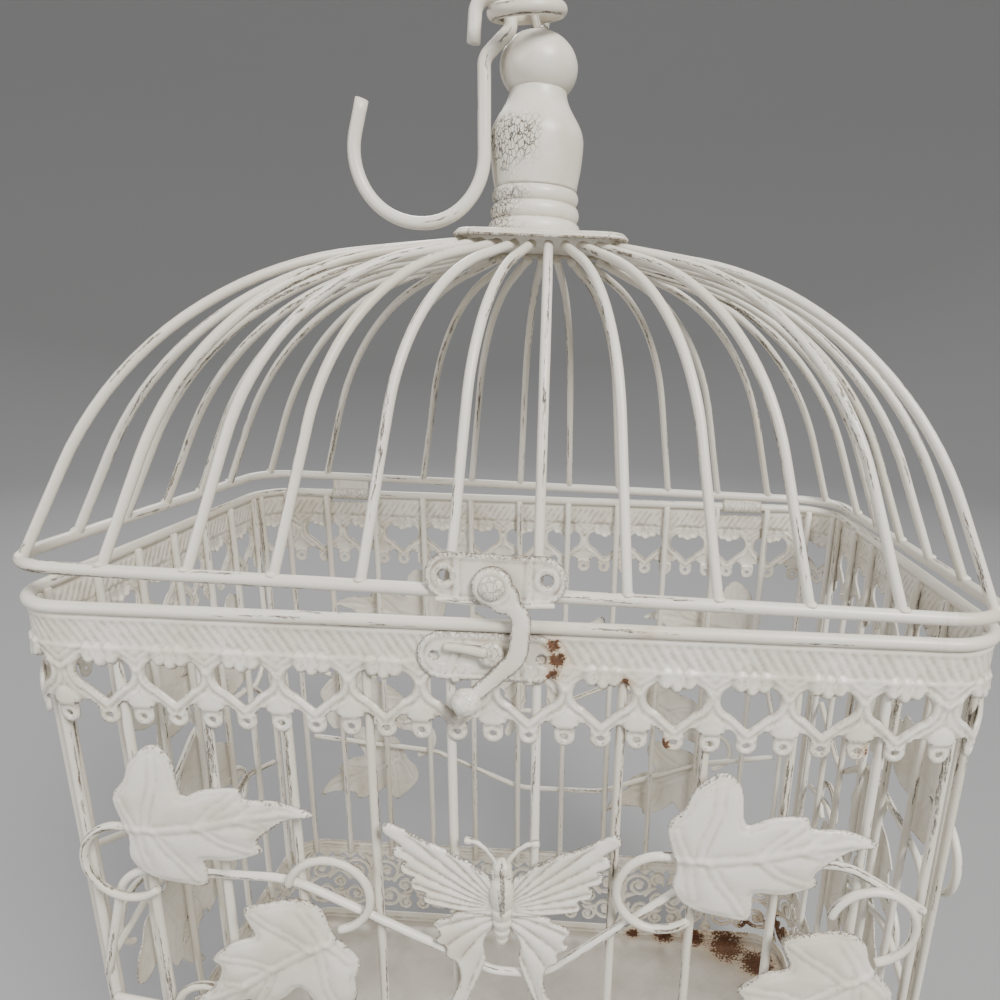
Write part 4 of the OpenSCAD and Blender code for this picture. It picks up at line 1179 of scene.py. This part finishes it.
def make_hanging():
    shape = Shape()
    turn = rot_z(-RING_TURN)
    loop = arc_path((0, 0, EYE_Z + 0.4), EYE_R, 0, 360, turn @ [0, 1, 0], [0, 0, 1], 48)[:-1]
    tube(shape, lid_seat(loop), EYE_WIRE/2, 14, True, 0.7)
    stem = [(0, 0, z) for z in grid(BALL_Z + BALL_H - 1.5, EYE_Z - EYE_R + 0.6, 1.2)]
    tube(shape, lid_seat(stem), EYE_WIRE/2 + 0.1, 14, wear=0.8)
    collar = [(0, 0), (2.6, 0), (3.0, 0.4), (2.5, 1.1), (0, 1.15)]
    lathe(shape, np.array(collar) + [0, BALL_Z + BALL_H - 0.35], lid_seat, 28, 0.9)
    shape.make("screw_eye_wire", "lid", HARDWARE, ["screw_eye"])
    shape = Shape()
    hoop = arc_path((0, -RING_R, 0), RING_R, 0, 360, (1, 0, 0), (0, 1, 0), 72)[:-1]
    tube(shape, ring_frame(hoop), HOOK_WIRE/2, 18, True, 0.6, 0.02)
    shape.make("hanging_ring_wire", "ring", WIRE, ["hanging_ring"])
    reach, back = -RING_R*math.cos(RING_TURN), -RING_R*(1 + math.sin(RING_TURN))
    lean = back*math.cos(RING_TILT)
    hang = (reach*math.cos(RING_TURN) + lean*math.sin(RING_TURN),
            -reach*math.sin(RING_TURN) + lean*math.cos(RING_TURN), back*math.sin(RING_TILT))
    corners = [(-5.6, -7), (-5, 4.2), (4.6, 4.2), (4.6, -3.6), (-2.6, -10.6), (-2, -53.6), (-45.6, -53.6),
               (-37.6, -21.6)]
    flat = resample(bent_path(corners, [0, 4.4, 4.4, 3, 4.5, 18.8, 18.8, 0], 5), 4)
    path = np.stack([flat[:, 0] + hang[0], np.full(len(flat), hang[1]),
                     flat[:, 1] + EYE_Z + hang[2]], 1)
    shape = Shape()
    tube(shape, lid_seat(path), HOOK_WIRE/2, 18, wear=0.45, dents=0.02, ends="flat")
    shape.make("hanging_hook_wire", "hook", WIRE, ["hanging_hook"])


# ---------- latch ----------

def front_of(y_back, seat=np.asarray):
    """Places a drawing of x, z and thickness outward on a plane that faces the front."""
    def place(x, z, n):
        x, z, n = np.broadcast_arrays(x, z, n)
        return seat(np.stack([x, y_back - n, z], -1))
    return place


def turned_forward(foot, seat=np.asarray):
    """Stands a turned solid at its foot, with its axis towards the front."""
    def place(points):
        return seat(np.stack([points[:, 0], -points[:, 2], points[:, 1]], 1) + foot)
    return place


def make_latch_plate():
    shape = Shape()
    cx, cz = LATCH_X + 0.5, LATCH_Z + 1.4
    back = -CAGE_D/2 - 1.6

    def field(x, z):
        holes = circle_field(np.abs(x - cx), z, 12.2, cz + 0.2, 1.35)
        return np.maximum(stadium_field(x, z, cx, cz, 22.0, 6.0), -holes)

    def relief(x, z):
        depth = -stadium_field(x, z, cx, cz, 22.0, 6.0)
        left = 0.55/(1 + np.exp((np.abs(x - cx + 0.6) - 8.3 + 0.25*(z - cz))*1.6))
        collars = 0.25*bump(np.hypot(np.abs(x - cx) - 12.2, z - cz - 0.2) - 2.4, 0.6)
        return left + 0.30*bump(depth - 0.8, 0.5) + collars + 0.35*bump(np.abs(x - cx + 0.6) - 8.6, 0.7)

    stamped(shape, grid(cx - 18, cx + 18, 0.4), grid(cz - 7, cz + 7, 0.4), field, relief, 0.75,
            front_of(back, lid_seat), 0.85, 0.5)
    hem = [(-14, -1.0, -5.6), (-5, -1.0, -6.2), (6, -1.2, -6.3), (14, -1.4, -5.7)]
    path = resample([(cx + x, back + y, cz + z) for x, y, z in hem], 1.5)
    tube(shape, lid_seat(path), 0.75, 10, wear=0.5, dents=0.12)
    shape.make("latch_plate_pressing", "lid", HARDWARE, ["latch_plate"])


def make_rivet():
    shape = Shape()
    head = [(1.5, 1.3), (2.7, 1.34), (3.0, 1.62), (2.9, 1.95), (2.45, 2.28), (1.6, 2.5),
            (0.7, 2.6), (0, 2.62)]
    profile = [(0, 0), (1.5, 0)] + [(r, LEVER_T + rise) for r, rise in head]

    lathe(shape, profile, turned_forward((LATCH_X, LEVER_Y + 1.2, LATCH_Z), lid_seat), 40, 0.55,
          lambda a, z: 1 + 0.02*np.sin(5*a + z))
    shape.make("latch_rivet_head", "lid", HARDWARE, ["latch_rivet"])


LEVER_LINE = bent_path([(2.6, -2.2), (7.3, -7.4), (6.4, -17.6), (-5.2, -29.2)], [0, 5, 7, 0], 8)


def make_lever():
    shape = Shape()

    def field(x, z):
        x, z = x - LATCH_X, z - LATCH_Z
        d, t = line_field(x, z, LEVER_LINE)
        arm = d - (2.3 - 0.014*t + 0.35*bump(t - 16, 7))
        blend = np.minimum(np.hypot(x, z) - 4.9, arm)
        web = np.hypot(x - 2.6, z + 2.6) - 3.9
        return np.maximum(np.minimum(blend, web), 1.58 - np.hypot(x, z))

    def relief(x, z):
        depth = np.clip(-field(x, z), 0, None)
        crown = LEVER_T*(0.62 + 0.38*np.sqrt(np.clip(depth/1.6, 0, 1)))
        dx, dz = x - LATCH_X, z - LATCH_Z
        return crown + 0.22*bump(np.hypot(dx, dz) - 3.9, 0.5)

    stamped(shape, grid(LATCH_X - 7, LATCH_X + 10, 0.3), grid(LATCH_Z - 32, LATCH_Z + 5.6, 0.3), field,
            relief, 0.02, front_of(LEVER_Y, lid_seat), 0.95, 0.3, hollow=False)
    dome = [(LEVER_GRIP_R*math.cos(t), LEVER_T/2 + LEVER_GRIP_R*math.sin(t))
            for t in np.radians(np.linspace(-28, 88, 22)) if math.sin(t)*LEVER_GRIP_R > -0.75]
    knob = [(0, 0.05), *dome, (0, LEVER_T/2 + LEVER_GRIP_R)]
    lathe(shape, knob, turned_forward((LATCH_X - 5.8, LEVER_Y, LATCH_Z - 29.8), lid_seat), 40, 0.5,
          lambda t, z: 1 - 0.05*np.abs(np.sin(2.5*t + 0.8*z)) - 0.02*np.sin(9*t))
    shape.make("latch_lever_forging", "lever", HARDWARE, ["latch_lever"])


def make_keeper():
    shape = Shape()
    cx, cz = -1.0, RIM_Z - 8
    back = CAGE_D/2 + 0.3

    def field(x, z):
        holes = circle_field(np.abs(x - cx), z, 13.2, cz, 1.2)
        return np.maximum(stadium_field(x, z, cx, cz, 22.5, 6.3), -holes)

    def relief(x, z):
        depth = np.clip(-stadium_field(x, z, cx, cz, 22.5, 6.3), 0, None)
        dish = -0.2*bump(np.hypot(x - cx - 11, z - cz), 3.5)
        steps = 0.3*bump(np.abs(x - cx) - 8.2 + 0.3*(z - cz), 0.7)
        return 0.34*bump(depth - 0.9, 0.55) + steps + dish + 0.2

    stamped(shape, grid(cx - 18.5, cx + 18.5, 0.4), grid(cz - 7.2, cz + 7.2, 0.4), field, relief, 0.75,
            front_of(-back), 0.85, 0.5)
    shape.make("keeper_plate_pressing", "cage", HARDWARE, ["keeper_plate"])
    shape = Shape()
    peg_y, peg_z = -back - 1.0, RIM_Z - 6.8
    profile = [(0, 0), (2.9, 0), (3.25, 0.35), (3.3, 1.1), (3.05, 1.6), (2.5, 1.85), (1.2, 1.98),
               (0, 2.0)]
    lathe(shape, profile, turned_forward((0, peg_y + 0.1, peg_z)), 36, 0.45,
          lambda a, z: 1 - 0.04*np.abs(np.sin(2*a + 1)) - 0.015*np.sin(7*a))
    arm = resample(bent_path([(-1.5, peg_y - 0.85, peg_z + 0.6), (-7, peg_y - 0.85, peg_z + 1.4),
                              (-11.2, peg_y - 0.8, peg_z + 1.6)], [0, 6, 0]), 1.2)
    tube(shape, arm, np.linspace(1.7, 1.15, len(arm)), 14, wear=0.5, dents=0.08)
    shape.make("keeper_peg_forging", "cage", HARDWARE, ["keeper_peg"])


def make_hinges():
    """Two strips rolled round the back rim, each with a flat tongue up to the lid rim."""
    shape = Shape()
    length = SLEEVE_LENGTH
    reach = box_mm("hinge_sleeves")[1][0] - length/2
    outer = RIM_WIRE/2 + 0.9
    inner = RIM_WIRE/2 + 0.06
    for side in (-1, 1):
        centre = side*reach
        top = LID_GAP - centre*math.sin(LID_ROLL)
        xs = grid(-length/2, length/2, 1.0)
        turns = np.radians(np.linspace(88, 88 + 352, 40))
        ring = [(outer*math.cos(t), outer*math.sin(t)) for t in turns]
        bore = [(inner*math.cos(t), inner*math.sin(t)) for t in turns[::-1]]
        loop = np.array(ring + bore)
        n = len(loop)
        points = np.concatenate([
            np.stack([np.full(n, centre + x), CAGE_D/2 + loop[:, 0], RIM_Z + loop[:, 1]], 1) for x in xs])
        k = np.arange(n)
        m = (k + 1) % n
        quads = [np.stack([i + k + n, i + m + n, i + m, i + k], 1) for i in n*np.arange(len(xs) - 1)]
        ends = []
        for i in (0, len(xs) - 1):
            half = n//2
            rows = np.arange(half - 1)
            cap = np.stack([i*n + rows, i*n + rows + 1, i*n + n - 2 - rows, i*n + n - 1 - rows], 1)
            ends.append(cap if i == 0 else cap[:, ::-1])
        shape.add(points, [*quads, *ends], 0.55)

        def field(x, z, top=top):
            return box_field(x, z, 0, (outer + top)/2 - 0.4, length, top - outer + 1.6, 1.4)

        def place(x, z, n, centre=centre):
            x, z, n = np.broadcast_arrays(x, z, n)
            return np.stack([centre - x, CAGE_D/2 - 0.55 + n, RIM_Z + z], -1)

        stamped(shape, grid(-9, 9, 0.5), grid(outer - 1.6, top + 1.0, 0.4), field,
                lambda x, z: 0.12*bump(np.abs(x) - 6.6, 0.6), 0.95, place, 0.8, 0.3)
    shape.make("hinge_strips", "lid", HARDWARE, ["hinge_sleeves"])


# ---------- floor and feet ----------

def make_floor():
    shape = Shape()

    def field(x, y):
        return box_field(x, y, 0, 0, CAGE_W - 0.9, CAGE_D - 0.9, CORNER_R - 0.45)

    def relief(x, y):
        lattice = np.maximum(bump((x + y + 500) % 17 - 8.5, 0.55), bump((x - y + 500) % 17 - 8.5, 0.55))
        sag = 0.1*np.cos(x/70)*np.cos(y/50)
        return 0.07*lattice + sag - 0.36

    def place(x, y, n):
        return np.stack(np.broadcast_arrays(x, y, n), -1)

    stamped(shape, grid(-CAGE_W/2, CAGE_W/2, 0.95), grid(-CAGE_D/2, CAGE_D/2, 0.95), field, relief, 0.6,
            place,
            0.3, 0.05, FLOOR_LOW + 0.36, grime_and_shade_amount=0.3)
    shape.make("floor_pressing", "cage", TIN, ["floor_panel"])


def make_feet():
    shape = Shape()
    top = BASE_Z - 0.8
    for x in (-1, 1):
        for y in (-1, 1):
            profile = [(0, 0), (2.2, 0), (3.1, 0.15)]
            profile += [(FOOT_R*math.cos(a), 6.5 + FOOT_R*math.sin(a))
                        for a in np.radians(np.linspace(-58, 58, 26))]
            profile += [(3.5, 12.75), (4.4, 13.2), (4.5, 13.8), (3.4, 14.3), (3.1, 15.2), (3.3, top),
                        (0, top)]

            def place(points, x=x, y=y):
                return points + [x*(CAGE_W/2 - 6), y*(CAGE_D/2 - 6), 0]

            lathe(shape, profile, place, 48, 0.55, lambda a, z: 1 - 0.008*np.abs(np.sin(3*a + 0.4*z)))
    shape.make("ball_feet", "cage", HARDWARE, ["feet"])


# ---------- stage, light and camera ----------

def make_stage():
    """A round pale floor, in metres, that curves up into a low wall, so that no horizon shows."""
    flat, curve, height = 1.7, 1.1, 2.2
    profile = [(0.001, 0), (flat, 0)]
    profile += [(flat + curve*math.sin(a), curve - curve*math.cos(a))
                for a in np.radians(np.linspace(5, 90, 18))]
    profile += [(flat + curve, height)]
    segments = 96
    a = FULL_TURN*np.arange(segments)/segments
    points = [(r*math.cos(t), r*math.sin(t), z) for r, z in profile for t in a]
    faces = [(i*segments + k, i*segments + (k + 1) % segments, (i + 1)*segments + (k + 1) % segments,
              (i + 1)*segments + k) for i in range(len(profile) - 1) for k in range(segments)]
    mesh = bpy.data.meshes.new("stage_floor")
    mesh.from_pydata(points, [], faces)
    mesh.polygons.foreach_set("use_smooth", [True]*len(mesh.polygons))
    mesh.materials.append(stage_material())
    floor = bpy.data.objects.new("stage_floor", mesh)
    bpy.context.scene.collection.objects.link(floor)


def area_light(name, place, aim, size, power, colour=(1, 1, 1)):
    data = bpy.data.lights.new(name, "AREA")
    data.shape = "DISK"
    data.size = size
    data.energy = power
    data.color = colour
    lamp = bpy.data.objects.new(name, data)
    lamp.location = place
    lamp.rotation_euler = (Vector(aim) - Vector(place)).to_track_quat("-Z", "Y").to_euler()
    bpy.context.scene.collection.objects.link(lamp)


def make_lights():
    aim = (0, 0, 0.25)
    area_light("key", (0.75, -1.0, 1.25), aim, 0.55, 38, (1, 0.985, 0.955))
    area_light("fill", (-1.2, -0.9, 0.7), aim, 0.9, 13, (0.98, 0.985, 1))
    area_light("back", (-0.4, 1.3, 1.4), aim, 0.7, 18)
    world = bpy.data.worlds.new("studio")
    world.use_nodes = True
    background = world.node_tree.nodes["Background"]
    background.inputs["Color"].default_value = (1, 0.985, 0.96, 1)
    background.inputs["Strength"].default_value = 0.55
    bpy.context.scene.world = world


def make_camera():
    """A close wide view from a little above the rim, turned a few degrees."""
    place = np.array([25.5, -239.0, RIM_Z + 65.6])
    pitch, roll, yaw = math.radians(16.35), math.radians(1.45), math.radians(2.67)
    turn = rot_z(yaw) @ rot_x(-pitch)
    right = turn @ np.array([math.cos(roll), 0, math.sin(roll)])
    up = turn @ np.array([-math.sin(roll), 0, math.cos(roll)])
    back = -turn @ np.array([0, 1, 0])
    data = bpy.data.cameras.new("camera")
    data.sensor_width, data.lens = 36, 26.25
    data.shift_x, data.shift_y = -0.0675, 0.0593
    data.clip_start = 0.01
    camera = bpy.data.objects.new("camera", data)
    camera.matrix_world = Matrix([
        (right[0], up[0], back[0], place[0]*MM),
        (right[1], up[1], back[1], place[1]*MM),
        (right[2], up[2], back[2], place[2]*MM),
        (0, 0, 0, 1)])
    bpy.context.scene.collection.objects.link(camera)
    bpy.context.scene.camera = camera


make_camera()
make_stage()
make_lights()
make_rims()
make_bars()
make_heart_band()
make_scroll_band()
for wall, parts in WALLS.items():
    make_wall_trim(wall, *parts)
for wall in ("front", "back"):
    make_butterfly(wall)
make_ribs()
make_crown()
make_finial()
make_hanging()
make_latch_plate()
make_rivet()
make_lever()
make_keeper()
make_hinges()
make_floor()
make_feet()
